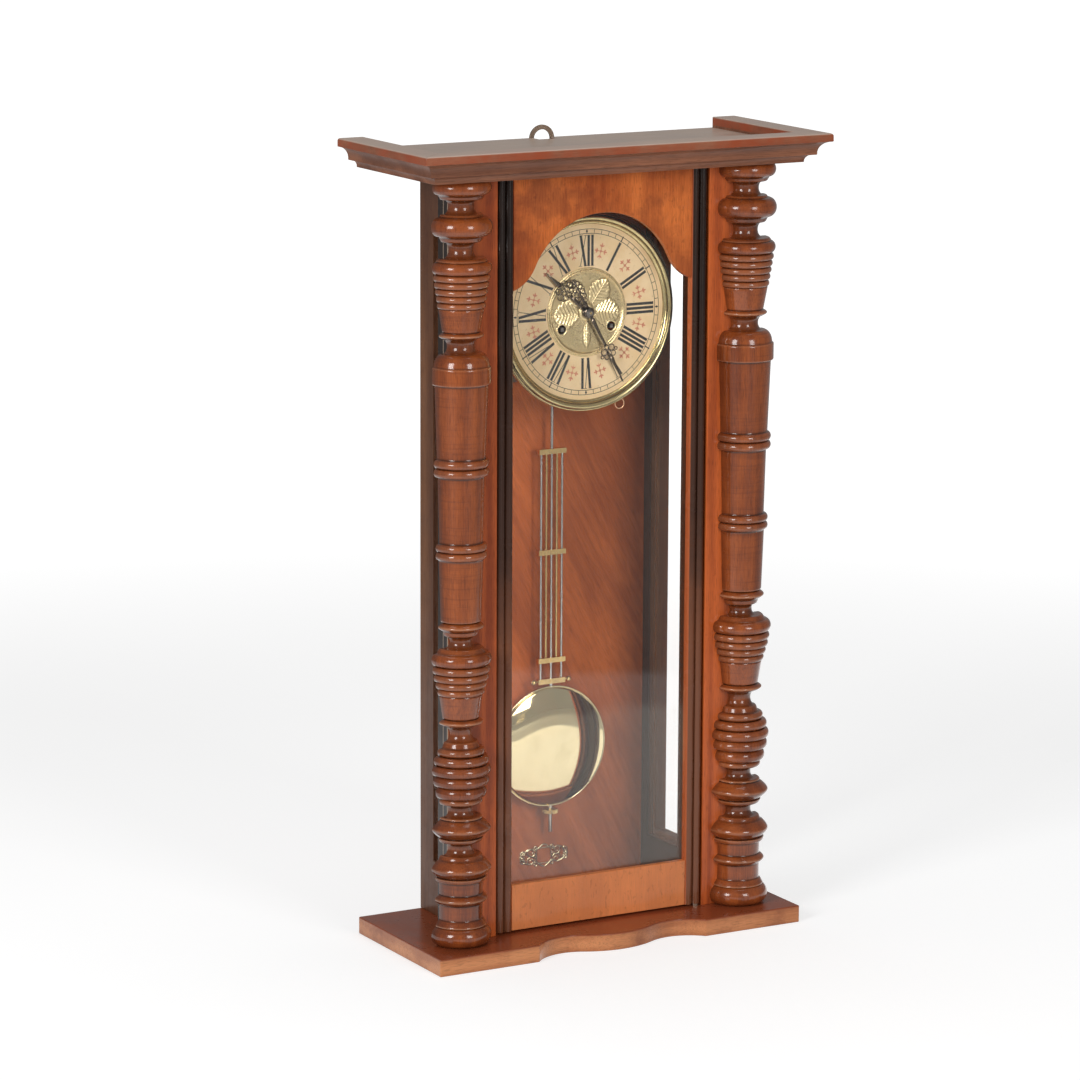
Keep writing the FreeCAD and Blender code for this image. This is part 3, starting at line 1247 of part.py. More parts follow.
def suspension():
    """The suspension spring with its pin, and the hook rod under it down to the gridiron."""
    y, wide = -swing_depth, d.spring_wide / 2
    low = anchor_spot[1] - d.spring_long
    cheek = wide + d.cock_play + d.cock_cheek
    ribbon = box("spring_strip", both(d.spring_thick / 2), (y - wide, y + wide), (low, anchor_spot[1]))
    pin = rod("spring_pin", "y", d.spring_pin, anchor_spot, y - cheek, y + cheek)
    keep(fuse("suspension_spring", ribbon, pin), "suspension_spring")
    block = box("hook_block", both(d.block_half), (y - wide, y + wide), (low - d.block_long, low))
    stem = rod("hook_stem", "z", d.hook_rad, (0, y), grid_top + d.bar_high / 2, low - d.block_long)
    keep(fuse("pendulum_rod", block, stem), "pendulum_rod")


# The gridiron's rods, by number from the middle one
STEEL_RODS = (-2, 0, 2)
BRASS_RODS = (-1, 1)


def gridiron():
    """Five rods between four cross-bars: the middle and outer ones steel, the two between brass."""
    y, half = -swing_depth, d.bar_high / 2
    snug = d.rod_rad + d.snug
    deep = (y - d.bar_deep / 2, y + d.bar_deep / 2)
    bars = []
    for name, height in (("top", grid_top), ("mid", grid_mid), ("low", grid_low)):
        blank = box(name + "_bar_blank", both(d.bar_half), deep, (height - half, height + half))
        end = height if name == "top" else height + half + PAST
        tools = []
        for n in sorted(STEEL_RODS + BRASS_RODS):
            start = height if name == "low" and n in BRASS_RODS else height - half - PAST
            tools.append(rod("%s_bar_hole%d" % (name, n + 2), "z", snug, (n * d.rod_pitch, y), start, end))
        bars.append(cut(name + "_bar", blank, *tools))
    blank = box("foot_bar_blank", both(d.bar_half), deep, (foot_bar - half, foot_bar + half))
    knobs = [finial(name, sign, y) for name, sign in (("left", -1), ("right", 1))]
    end = foot_bar + half + PAST
    tools = [rod("foot_bore", "z", d.rating_rad + d.snug, (0, y), foot_bar - half - PAST, end)]
    for n in STEEL_RODS[::2]:
        tools.append(rod("foot_hole%d" % n, "z", snug, (n * d.rod_pitch, y), foot_bar, end))
    bars.append(cut("foot_bar", fuse("foot_bar_part", blank, *knobs), *tools))
    keep(group("crossbars", *bars), "crossbars")
    steel = [
        rod("steel_rod%d" % n, "z", d.rod_rad, (n * d.rod_pitch, y), foot_bar, grid_top)
        for n in STEEL_RODS
    ]
    thread = rod("rating_rod", "z", d.rating_rad, (0, y), rating_end, foot_bar + half)
    steel[1] = fuse("middle_rod", steel[1], thread)
    keep(group("steel_rods", *steel), "steel_rods")
    brass = [
        rod("brass_rod%d" % n, "z", d.rod_rad, (n * d.rod_pitch, y), grid_low, grid_top)
        for n in BRASS_RODS
    ]
    keep(group("brass_rods", *brass), "brass_rods")


def bob():
    """The lens-shaped bob with its hub and cap, and the rating nut that carries it."""
    y, rim = -swing_depth, d.bob_rim / 2
    low, high = bob_up - d.bob_rad, bob_up + d.bob_rad
    bore = d.rating_rad + d.running
    corners = [
        (0, y - rim - d.bob_crown), (d.bob_rad, y - rim, bow_radius(2 * d.bob_rad, d.bob_crown), 1),
        (d.bob_rad, y + rim), (0, y + rim + d.bob_back, bow_radius(2 * d.bob_rad, d.bob_back), 1),
    ]
    lens = turned("bob_lens", "y", corners, (0, bob_up))
    hub = rod("bob_hub", "z", d.hub_rad, (0, y), hub_low, low + d.hub_sunk)
    cap = rod("bob_cap", "z", d.hub_rad, (0, y), high - d.hub_sunk, high + d.cap_long)
    hole = rod("bob_bore", "z", bore, (0, y), hub_low - PAST, high + PAST)
    keep(cut("bob", fuse("bob_blank", lens, hub, cap), hole), "bob")
    top = hub_low - d.nut_gap
    foot = top - d.nut_high
    wide = d.nut_rad
    corners = [(bore, foot), (wide, foot), (wide, top - d.nut_chamfer), (d.hub_rad, top), (bore, top)]
    keep(turned("rating_nut", "z", corners, (0, y)), "rating_nut")


base_board()
carcass()
cornice()
fronts()
door()
hanger()
beat_plate()
gong()
movement_bracket()
movement_frame()
suspension_cock()
going_train()
strike_train()
winding_arbors()
hammer()
anchor()
dial()
bezel()
motion_work()
hands()
trip_wire()
suspension()
gridiron()
bob()
doc.recompute()

# Nothing is written unless every object and every sub-part is sound.
for thing in doc.Objects:
    if "Invalid" in thing.State or "Error" in thing.State:
        raise RuntimeError("%s failed: %s" % (thing.Name, thing.State))
for piece in pieces:
    if piece.Shape.isNull() or not piece.Shape.isValid():
        raise RuntimeError("%s has no sound shape" % piece.Label)

os.makedirs("parts", exist_ok=True)
for piece in pieces:
    piece.Shape.exportStep("parts/%s.step" % piece.Label)
print("%d sub-parts, %d solids" % (len(pieces), sum(len(p.Shape.Solids) for p in pieces)))
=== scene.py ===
"""A spring-driven wall regulator clock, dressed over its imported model, in metres."""
import json
import math

import bmesh
import bpy
import numpy as np
from mathutils import Matrix, Vector

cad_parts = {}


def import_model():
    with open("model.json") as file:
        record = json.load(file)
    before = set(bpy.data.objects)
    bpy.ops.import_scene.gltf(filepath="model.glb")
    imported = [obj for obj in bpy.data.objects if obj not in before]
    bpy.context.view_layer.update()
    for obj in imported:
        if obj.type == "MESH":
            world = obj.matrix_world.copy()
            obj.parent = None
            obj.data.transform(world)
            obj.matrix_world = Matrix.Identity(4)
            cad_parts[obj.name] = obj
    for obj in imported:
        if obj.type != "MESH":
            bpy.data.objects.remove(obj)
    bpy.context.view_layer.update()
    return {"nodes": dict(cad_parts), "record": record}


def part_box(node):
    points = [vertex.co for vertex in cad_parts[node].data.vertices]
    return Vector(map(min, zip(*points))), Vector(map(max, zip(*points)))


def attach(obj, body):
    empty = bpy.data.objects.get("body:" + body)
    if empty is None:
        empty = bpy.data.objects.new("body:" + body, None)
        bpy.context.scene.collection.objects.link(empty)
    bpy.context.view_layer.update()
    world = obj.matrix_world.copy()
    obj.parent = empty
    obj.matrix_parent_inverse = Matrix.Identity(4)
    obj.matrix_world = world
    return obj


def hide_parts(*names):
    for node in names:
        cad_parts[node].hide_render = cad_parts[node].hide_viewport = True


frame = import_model()
nodes = frame["nodes"]
MM = 0.001
TURN = 2 * math.pi


# Places read from the frame

def span(node):
    """A node's lowest and highest corners as arrays."""
    low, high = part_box(node)
    return np.array(low), np.array(high)


def joint_place(name):
    """A joint's point in the frame."""
    return np.array([j["pos_m"] for j in frame["record"]["behaviour"]["joints"] if j["name"] == name][0])


chapter_low, chapter_high = span("chapter_ring")
dial_x = (chapter_low[0] + chapter_high[0]) / 2
dial_z = (chapter_low[2] + chapter_high[2]) / 2
dial_y = chapter_low[1]
wind_spots = np.array([joint_place("time_winding"), joint_place("strike_winding")])


# Meshes from arrays

body_of = {node: body for body, members in frame["record"]["behaviour"]["bodies"].items() for node in members}


def in_scene(name, data):
    """A new object in the scene, at the origin."""
    thing = bpy.data.objects.new(name, data)
    bpy.context.scene.collection.objects.link(thing)
    return thing


def new_piece(mesh, look, body):
    """Puts a mesh into the scene under its own name, with a finish, on a body."""
    mesh.materials.clear()
    mesh.materials.append(LOOK[look])
    piece = in_scene(mesh.name, mesh)
    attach(piece, body)
    return piece


def stand_in(mesh, look, node):
    """Puts a mesh into the scene in the place of a CAD node, on its body."""
    piece = new_piece(mesh, look, body_of[node])
    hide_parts(node)
    return piece


def mesh_of(name, points, faces, smooth=True):
    """A mesh from an array of points and an array of faces, all with as many corners."""
    mesh = bpy.data.meshes.new(name)
    mesh.from_pydata(np.asarray(points, float).reshape(-1, 3), [], np.asarray(faces).tolist())
    mesh.polygons.foreach_set("use_smooth", np.full(len(mesh.polygons), smooth))
    mesh.update()
    return mesh


def keep_marks(mesh, name, values):
    """Keeps a value for each of a mesh's first points as its attribute, and 0 for the rest."""
    layer = mesh.attributes.new(name, "FLOAT", "POINT")
    rest = len(mesh.vertices) - values.size
    layer.data.foreach_set("value", np.pad(values.ravel(), (0, rest)).astype(np.float32))


def grid_faces(rows, columns, close_rows=False, close_columns=False):
    """The quads of a grid of points: each joins a point with its next in row and column."""
    r = np.arange(rows if close_rows else rows - 1)
    c = np.arange(columns if close_columns else columns - 1)
    r, c = [a.ravel() for a in np.meshgrid(r, c, indexing="ij")]
    r2, c2 = (r + 1) % rows, (c + 1) % columns
    return np.stack([r * columns + c, r * columns + c2, r2 * columns + c2, r2 * columns + c], axis=1)


def outwards(mesh):
    """Merges doubles and turns every face outwards."""
    shape = bmesh.new()
    shape.from_mesh(mesh)
    bmesh.ops.remove_doubles(shape, verts=shape.verts, dist=1e-7)
    bmesh.ops.recalc_face_normals(shape, faces=shape.faces)
    shape.to_mesh(mesh)
    shape.free()
    return mesh


def gathered(parts):
    """Several (points, faces) pairs as one pair: each part's faces are shifted by the points before it."""
    points, faces, count = [], [], 0
    for p, f in parts:
        p = np.asarray(p, float).reshape(-1, 3)
        points.append(p)
        faces.append(np.asarray(f) + count)
        count += len(p)
    return np.concatenate(points), np.concatenate(faces)


def turned_about_y(profile, centre, steps, ripple=None):
    """A profile of (radius, y) carried round an axis along y: x = r sin a, z = r cos a.
    ripple gives the radius a share of its own at each profile point and angle."""
    angle = np.linspace(0, TURN, steps, endpoint=False)
    radius = np.repeat(profile[:, :1], steps, axis=1)
    if ripple is not None:
        radius = radius + ripple(profile, angle)
    x = centre[0] + radius * np.sin(angle)
    z = centre[1] + radius * np.cos(angle)
    y = np.repeat(profile[:, 1:], steps, axis=1)
    return np.stack([x, y, z], axis=-1), grid_faces(len(profile), steps, close_columns=True)


def turned_about_z(profile, centre, steps, start=0.0, sweep=TURN, ripple=None):
    """A profile of (radius, z) carried round a vertical axis: x = r cos a, y = r sin a."""
    whole = abs(sweep - TURN) < 1e-9
    angle = np.linspace(start, start + sweep, steps, endpoint=not whole)
    radius = np.repeat(profile[:, :1], len(angle), axis=1)
    if ripple is not None:
        radius = radius + ripple(profile, angle)
    x = centre[0] + radius * np.cos(angle)
    y = centre[1] + radius * np.sin(angle)
    z = np.repeat(profile[:, 1:], len(angle), axis=1)
    return np.stack([x, y, z], axis=-1), grid_faces(len(profile), len(angle), close_columns=whole)


def arc_points(start, end, bulge, count):
    """Points on an arc between two plane points: its middle stands off the chord by bulge,
    to the left of the way."""
    start, end = np.array(start, float), np.array(end, float)
    way = end - start
    chord = np.hypot(*way)
    left = np.array([-way[1], way[0]]) / chord
    share = np.linspace(0, 1, count)[:, None]
    lift = bulge * (1 - (2 * share - 1) ** 2)
    return start + way * share + left * lift


def tube_in_plane(path, radius, normal, sides=10, closed=False, flat=1.0):
    """A round section carried along a plane path: r cos a across it and flat r sin a along the plane's
    normal. radius may differ from point to point."""
    path = np.asarray(path, float)
    normal = np.asarray(normal, float)
    if closed:
        along = np.roll(path, -1, axis=0) - np.roll(path, 1, axis=0)
    else:
        along = np.gradient(path, axis=0)
    along /= np.linalg.norm(along, axis=1, keepdims=True)
    across = np.cross(along, normal)
    angle = np.linspace(0, TURN, sides, endpoint=False)
    radius = np.broadcast_to(np.asarray(radius, float), len(path))[:, None, None]
    ring = across[:, None, :] * np.cos(angle)[None, :, None]
    ring = ring + flat * normal[None, None, :] * np.sin(angle)[None, :, None]
    return path[:, None, :] + radius * ring, grid_faces(len(path), sides, closed, True)


def both_ways(rows):
    """Rows of a table with their first value, and then again with it turned about."""
    return rows + [(-first, *rest) for first, *rest in rows]


def capped(points):
    """Closes the two ends of an open tube's points: the end rings are drawn in to their middles."""
    first = points[:1].mean(axis=1, keepdims=True) + 0 * points[:1]
    last = points[-1:].mean(axis=1, keepdims=True) + 0 * points[-1:]
    whole = np.concatenate([first, points, last])
    return whole, grid_faces(whole.shape[0], whole.shape[1], close_columns=True)


# Finishes: colours written as they look, in shares of full red, green and blue

def tone(red, green, blue):
    """A colour seen as 0 to 255 in each channel, made linear."""
    share = np.array([red, green, blue]) / 255
    line = np.where(share <= 0.04045, share / 12.92, ((share + 0.055) / 1.055) ** 2.4)
    return (*line.tolist(), 1.0)


class Nodes:
    """A short hand for building node trees: add a node with its settings, inputs and links."""

    def __init__(self, tree):
        self.tree = tree

    def add(self, kind, inputs=None, **settings):
        node = self.tree.nodes.new(kind)
        for key, value in settings.items():
            setattr(node, key, value)
        self.feed(node, inputs or {})
        return node

    def feed(self, node, inputs):
        """Links sockets to a node's inputs and sets plain values on the others."""
        for key, value in inputs.items():
            if isinstance(value, bpy.types.NodeSocket):
                self.tree.links.new(value, node.inputs[key])
            else:
                node.inputs[key].default_value = value

    def math(self, operation, a, b=0.0, clamp=False):
        return self.add("ShaderNodeMath", {0: a, 1: b}, operation=operation, use_clamp=clamp).outputs[0]

    def times(self, a, b, clamp=False):
        return self.math("MULTIPLY", a, b, clamp)

    def plus(self, a, b, clamp=False):
        return self.math("ADD", a, b, clamp)

    def minus(self, a, b):
        return self.math("SUBTRACT", a, b)

    def mix(self, share, one, other, blend="MIX"):
        inputs = {0: share, 6: one, 7: other}
        return self.add("ShaderNodeMix", inputs, data_type="RGBA", blend_type=blend).outputs[2]

    def ramp(self, value, low, high):
        """0 at low and 1 at high, smooth between."""
        node = self.add("ShaderNodeMapRange", {0: value, 1: low, 2: high}, interpolation_type="SMOOTHSTEP")
        return node.outputs[0]

    def noise(self, coords, scale, detail=3.0, rough=0.55, distort=0.0):
        return self.add(
            "ShaderNodeTexNoise",
            {"Vector": coords, "Scale": scale, "Detail": detail, "Roughness": rough, "Distortion": distort},
        ).outputs[0]

    def stretched(self, coords, scale):
        return self.add("ShaderNodeMapping", {"Vector": coords, "Scale": scale}).outputs[0]

    def marks(self, name):
        """A mesh's own attribute, from 0 to 1."""
        return self.add("ShaderNodeAttribute", attribute_name=name).outputs["Fac"]


def new_group(name, inputs, outputs):
    """An empty shader group with named sockets: (kind, name, default) in, (kind, name) out."""
    tree = bpy.data.node_groups.new(name, "ShaderNodeTree")
    for kind, label, value in inputs:
        socket = tree.interface.new_socket(label, in_out="INPUT", socket_type="NodeSocket" + kind)
        if value is not None:
            socket.default_value = value
    for kind, label in outputs:
        tree.interface.new_socket(label, in_out="OUTPUT", socket_type="NodeSocket" + kind)
    n = Nodes(tree)
    return n, n.add("NodeGroupInput").outputs, n.add("NodeGroupOutput")


def wood_group():
    """Walnut with its grain along z: broad figure, growth bands, fine fibres and short dark pores."""
    n, given, out = new_group(
        "walnut_figure",
        [
            ("Vector", "Coords", None), ("Color", "Light", (0.3, 0.12, 0.05, 1)),
            ("Color", "Dark", (0.1, 0.04, 0.02, 1)), ("Float", "Figure", 9.0), ("Float", "Flame", 1.5),
            ("Float", "Stripe", 0.25), ("Float", "Mottle", 0.3), ("Float", "Pores", 0.5),
        ],
        [("Color", "Color"), ("Float", "Height")],
    )
    coords = given["Coords"]
    broad = n.noise(n.stretched(coords, (1, 1, 0.12)), given["Figure"], 4.0, 0.6, given["Flame"])
    bands = n.add(
        "ShaderNodeTexWave",
        {"Vector": n.stretched(coords, (1, 1, 0.06)), "Scale": n.times(given["Figure"], 1.6),
         "Distortion": n.times(given["Flame"], 5.0), "Detail": 3.0, "Detail Scale": 1.4},
        wave_type="BANDS", bands_direction="X",
    ).outputs["Fac"]
    fibres = n.noise(n.stretched(coords, (1, 1, 0.02)), 900.0, 2.0)
    pores = n.noise(n.stretched(coords, (1, 1, 0.05)), 1500.0, 1.0)
    pores = n.times(n.ramp(pores, 0.66, 0.54), given["Pores"])
    mottle = n.noise(coords, 14.0, 3.0, 0.6)
    share = broad
    for layer, weight in ((bands, given["Stripe"]), (fibres, 0.3), (mottle, given["Mottle"])):
        share = n.plus(share, n.times(n.minus(layer, 0.5), weight))
    color = n.mix(n.ramp(share, 0.25, 0.78), given["Dark"], given["Light"])
    pored = n.minus(1.0, n.times(n.minus(given["Pores"], pores), 0.55))
    shade = n.add("ShaderNodeCombineColor", {0: pored, 1: pored, 2: pored}).outputs[0]
    dark = n.mix(1.0, color, shade, "MULTIPLY")
    n.feed(out, {"Color": dark, "Height": n.plus(n.times(fibres, 0.4), n.times(pores, 0.8))})
    return n.tree


def wear_group():
    """Handling marks: cloudy dullness, dents and rubbed spots, as masks from 0 to 1."""
    n, given, out = new_group(
        "handling_marks",
        [("Vector", "Coords", None), ("Float", "Size", 30.0), ("Float", "Spots", 0.5)],
        [("Float", "Cloud"), ("Float", "Spots"), ("Float", "Scratches")],
    )
    coords, size = given["Coords"], given["Size"]
    cloud = n.noise(coords, size, 5.0, 0.65)
    dots = n.noise(coords, n.times(size, 7.0), 2.0, 0.5)
    spots = n.times(n.ramp(dots, 0.66, 0.74), given["Spots"])
    lines = n.noise(n.stretched(coords, (1.0, 6.0, 0.4)), n.times(size, 12.0), 1.0, 0.5, 0.6)
    n.feed(out, {"Cloud": cloud, "Spots": spots, "Scratches": n.ramp(lines, 0.64, 0.7)})
    return n.tree


def metal_group():
    """Metal with tarnish in clouds and fine rubbing marks: colour, roughness share and height."""
    n, given, out = new_group(
        "metal_patina",
        [
            ("Vector", "Coords", None), ("Color", "Clean", (0.8, 0.6, 0.3, 1)),
            ("Color", "Tarnish", (0.3, 0.2, 0.1, 1)), ("Float", "Amount", 0.4), ("Float", "Size", 60.0),
        ],
        [("Color", "Color"), ("Float", "Rough"), ("Float", "Height")],
    )
    coords, size, amount = given["Coords"], given["Size"], given["Amount"]
    cloud = n.noise(coords, size, 5.0, 0.65)
    specks = n.noise(coords, n.times(size, 14.0), 2.0, 0.5)
    share = n.times(n.ramp(cloud, 0.42, 0.75), amount)
    share = n.plus(share, n.times(n.ramp(specks, 0.62, 0.72), n.times(amount, 0.5)))
    share = n.math("MINIMUM", share, 1.0)
    rub = n.noise(n.stretched(coords, (1.0, 1.0, 14.0)), n.times(size, 9.0), 2.0, 0.6)
    n.feed(out, {
        "Color": n.mix(share, given["Clean"], given["Tarnish"]),
        "Rough": n.plus(share, n.times(n.minus(rub, 0.5), 0.5)),
        "Height": n.plus(n.times(rub, 0.3), n.times(specks, 0.7)),
    })
    return n.tree


WOOD, WEAR, METAL = wood_group(), wear_group(), metal_group()


def new_material(name):
    """A material with a Principled shader: its tree's short hand, that shader and the Object coordinates."""
    material = bpy.data.materials.new(name)
    material.use_nodes = True
    material.node_tree.nodes.clear()
    n = Nodes(material.node_tree)
    shader = n.add("ShaderNodeBsdfPrincipled")
    n.add("ShaderNodeOutputMaterial", {"Surface": shader.outputs[0]})
    coords = n.add("ShaderNodeTexCoord").outputs["Object"]
    return material, n, shader, coords


def bump(n, shader, height, depth):
    """Feeds a height through a Bump node of a real depth in metres."""
    node = n.add("ShaderNodeBump", {"Height": height, "Strength": 1.0, "Distance": depth})
    n.feed(shader, {"Normal": node.outputs[0]})


def placed(n, coords, turn):
    """Object coordinates turned, so that a piece's grain runs its own way."""
    return n.add("ShaderNodeMapping", {"Vector": coords, "Rotation": turn}).outputs[0]


def group_in(n, tree, **inputs):
    """Places a group with its own values and gives its outputs."""
    named = {key.capitalize(): value for key, value in inputs.items()}
    return n.add("ShaderNodeGroup", named, node_tree=tree).outputs


# Which way a wood's grain runs, or a cloth wiped, as a turn of the coordinates
ACROSS = (0.0, math.pi / 2, 0.0)
UPRIGHT = (0.0, 0.0, 0.0)
FLAME = (0.0, math.radians(28), 0.0)
WIPED = (0.0, math.radians(-35), 0.0)


# The bare wood under its coat of polish hardly mirrors
UNDER_COAT = 0.12
# Relief this fine, in metres, only breaks the shine
FINE_RELIEF = 0.00002


def wood(
    name, light, dark, grain=UPRIGHT, figure=9.0, flame=1.5, stripe=0.2, mottle=0.3, gloss=(0.3, 0.5),
    coat=0.35, finish=None, polish=0.18,
):
    """A polished wood: figure, worn clouds in the polish, a coat over it and fine pore relief.
    finish may change the colour by place, from the tree, the coordinates, the colour and the wear masks."""
    material, n, shader, coords = new_material(name)
    grained = group_in(n, WOOD, coords=placed(n, coords, grain), light=light, dark=dark, figure=figure,
                       flame=flame, stripe=stripe, mottle=mottle)
    worn = group_in(n, WEAR, coords=coords, size=22.0, spots=0.6)
    color = n.mix(n.times(worn["Spots"], 0.45), grained["Color"], dark)
    if finish:
        color = finish(n, coords, color, worn)
    dull = n.plus(gloss[0], n.times(n.ramp(worn["Cloud"], 0.35, 0.7), gloss[1] - gloss[0]))
    n.feed(shader, {
        "Base Color": color, "Roughness": dull, "Specular IOR Level": UNDER_COAT,
        "Coat Weight": coat, "Coat Roughness": polish,
    })
    bump(n, shader, grained["Height"], FINE_RELIEF)
    return material


def parts_of(n, coords):
    """The three parts of a place."""
    return n.add("ShaderNodeSeparateXYZ", {0: coords}).outputs


def length_of(n, u, v):
    """How far a place lies from a middle, from its two distances."""
    return n.math("SQRT", n.plus(n.math("POWER", u, 2.0), n.math("POWER", v, 2.0)))


def dial_radius(n, coords):
    """How far a place lies from the dial's axis."""
    place = parts_of(n, coords)
    return length_of(n, n.minus(place["X"], float(dial_x)), n.minus(place["Z"], float(dial_z)))


def metal(name, clean, tarnish, amount=0.4, rough=(0.18, 0.4), size=60.0, depth=FINE_RELIEF, finish=None):
    """A metal with clouded tarnish, rubbed by cloths; finish may change its colour by place."""
    material, n, shader, coords = new_material(name)
    aged = group_in(n, METAL, coords=coords, clean=clean, tarnish=tarnish, amount=amount, size=size)
    color = finish(n, coords, aged["Color"], aged) if finish else aged["Color"]
    span_rough = n.times(n.math("MAXIMUM", aged["Rough"], 0.0), rough[1] - rough[0])
    n.feed(shader, {"Base Color": color, "Metallic": 1.0, "Roughness": n.plus(rough[0], span_rough)})
    bump(n, shader, aged["Height"], depth)
    return material


def base_finish(n, coords, color, worn):
    """The base's top is red-brown under old polish, lightened in clouds as a painted reflection of the rail
    above it; its other faces keep the paler wood, darker again in spots.
    """
    place = parts_of(n, coords)
    top = n.ramp(place["Z"], base_top - 2.2 * MM, base_top - 0.4 * MM)
    # Painted reflection: the top's red-brown is lightened to stand for the rail mirrored in its polish.
    ring = n.mix(n.times(worn["Cloud"], 0.8), tone(96, 44, 26), tone(172, 88, 52))
    edge = n.mix(n.times(n.ramp(worn["Cloud"], 0.5, 0.72), 0.55), color, tone(120, 62, 40))
    return n.mix(top, edge, ring)


def dust_and_sheen(n, color, worn, up):
    """Lays fine grey dust where up is 1, a little thinner in clouds; its pale grey is also a painted sheen,
    the grazing reflection of polished tops.
    """
    share = n.times(up, n.plus(0.62, n.times(worn["Cloud"], 0.3)))
    # Real dust with painted sheen: the pale grey laid on the tops.
    return n.mix(share, color, tone(186, 170, 156))


def uppermost(n, place, top):
    """1 on the faces that lie at a piece's top, and 0 a little below it."""
    return n.ramp(place["Z"], top - 1.4 * MM, top - 0.3 * MM)


def dust_and_sheen_board(n, coords, color, worn):
    """Dust and painted sheen on the board between the mouldings."""
    return dust_and_sheen(n, color, worn, uppermost(n, parts_of(n, coords), board_top))


def dust_and_sheen_top(n, coords, color, worn):
    """Dust and painted sheen on the highest faces; the nose under them keeps its red polish, and the
    mouldings below are dull."""
    place = parts_of(n, coords)
    nose = n.ramp(place["Z"], cornice_top - 8.6 * MM, cornice_top - 7.6 * MM)
    color = n.mix(n.times(nose, n.ramp(worn["Cloud"], 0.75, 0.3)), color, tone(150, 70, 41))
    return dust_and_sheen(n, color, worn, uppermost(n, place, cornice_top))


def side_finish(n, coords, color, worn):
    """The sides' inner faces are much darker than the rest."""
    place = parts_of(n, coords)
    inside = n.ramp(n.math("ABSOLUTE", place["X"]), side_inner + 2.0 * MM, side_inner + 0.6 * MM)
    return n.mix(n.times(inside, 0.8), color, tone(44, 30, 23))


def stile_finish(n, coords, color, worn):
    """The black turns to brown in the lower half, and the inner edges were never blackened."""
    place = parts_of(n, coords)
    uneven = n.plus(place["Z"], n.times(n.minus(worn["Cloud"], 0.5), 0.12))
    color = n.mix(n.times(n.ramp(uneven, 0.64, 0.5), 0.7), color, tone(72, 44, 31))
    color = n.mix(n.times(n.ramp(uneven, 0.41, 0.29), 0.85), color, tone(118, 70, 45))
    edge = n.ramp(n.math("ABSOLUTE", place["X"]), stile_inner + 1.3 * MM, stile_inner + 0.5 * MM)
    return n.mix(edge, color, tone(178, 92, 52))


def turned_finish(n, coords, color, worn):
    """Old polish lies dark where the turned members meet, with painted shade in grooves, under wider members
    and on faces that look down; arrises are pale with wear and a painted highlight, as two attributes say.
    Fine rings are left by the lathe."""
    lathe = n.noise(n.stretched(coords, (0.04, 0.04, 1.0)), 420.0, 3.0, 0.7)
    color = n.mix(n.times(n.ramp(lathe, 0.48, 0.7), 0.3), color, tone(84, 40, 24))
    # Painted shade with old polish: grooves, the places under wider members, undersides and the corner by the
    # board are darkened.
    dirt_and_shade = n.times(n.marks("grime_and_shade"), n.plus(0.6, n.times(worn["Cloud"], 0.5)), clamp=True)
    color = n.mix(dirt_and_shade, color, tone(38, 19, 12))
    # Painted highlight with wear: the arrises are paled.
    return n.mix(n.times(n.marks("rubbed"), 0.4), color, tone(200, 146, 110))


def pilaster_finish(n, coords, color, worn):
    """The outer edge is black with two thin pale lines, worn and a painted highlight of its lit arrises, and
    the field by the column is darkened by painted shade from the column, with dark polish."""
    place = parts_of(n, coords)
    out = n.math("ABSOLUTE", place["X"])
    edge = n.ramp(out, pilaster_out - 0.8 * MM, pilaster_out - 0.3 * MM)
    deep = n.minus(place["Y"], pilaster_front)
    second = n.math("ABSOLUTE", n.minus(deep, 9.0 * MM))
    lines = n.math("MAXIMUM", n.ramp(deep, 1.9 * MM, 1.1 * MM), n.ramp(second, 0.8 * MM, 0.4 * MM))
    # Painted shade from the column, with dark polish, on the field next to it.
    column_shade_and_polish = n.times(n.ramp(out, column_x - 30 * MM, column_x - 12 * MM), 0.4)
    color = n.mix(column_shade_and_polish, color, tone(52, 24, 15))
    color = n.mix(edge, color, tone(34, 22, 17))
    # Painted highlight, with wear: the two pale lines on the outer edge.
    return n.mix(n.times(edge, n.times(lines, 0.7)), color, tone(176, 152, 132))


def rail_finish(n, coords, color, worn):
    """Old veneer: dark flecks and scratches, and darker corners; a dark mottle near the top, which is also
    painted shadow from the cornice, and lighter low down.
    """
    place = parts_of(n, coords)
    corner = n.times(n.ramp(n.math("ABSOLUTE", place["X"]), 0.05, 0.1), n.ramp(worn["Cloud"], 0.3, 0.7))
    flecks = n.times(worn["Spots"], 0.3)
    flecks = n.plus(flecks, n.times(worn["Scratches"], 0.2), clamp=True)
    color = n.mix(n.times(corner, 0.45), color, tone(120, 52, 27))
    # Painted shadow from the cornice, with a dark mottle: darkens the top of the top rail in clouds.
    mottle_and_cornice_shadow = n.times(n.ramp(worn["Cloud"], 0.46, 0.66), n.ramp(place["Z"], 0.6, 0.74))
    color = n.mix(n.times(mottle_and_cornice_shadow, 0.5), color, tone(104, 46, 25))
    color = n.mix(n.times(n.ramp(place["Z"], 0.3, 0.1), 0.5), color, tone(232, 150, 96))
    return n.mix(flecks, color, tone(84, 40, 22))


def relief_finish(n, coords, color, worn):
    """The pressed ground is dull, the raised leaves are rubbed bright, and an attribute darkens the ground
    round them, part soiling and part painted shadow lines along the leaves' edges."""
    # Painted shadow lines with soiling, along the leaves' edges.
    color = n.mix(n.times(n.marks("grime_and_shade"), 0.6), color, tone(66, 48, 22))
    high = n.ramp(parts_of(n, coords)["Y"], float(relief_ground - 0.1 * MM), float(relief_ground - 0.8 * MM))
    return n.mix(high, n.mix(0.2, color, tone(110, 88, 52)), color)


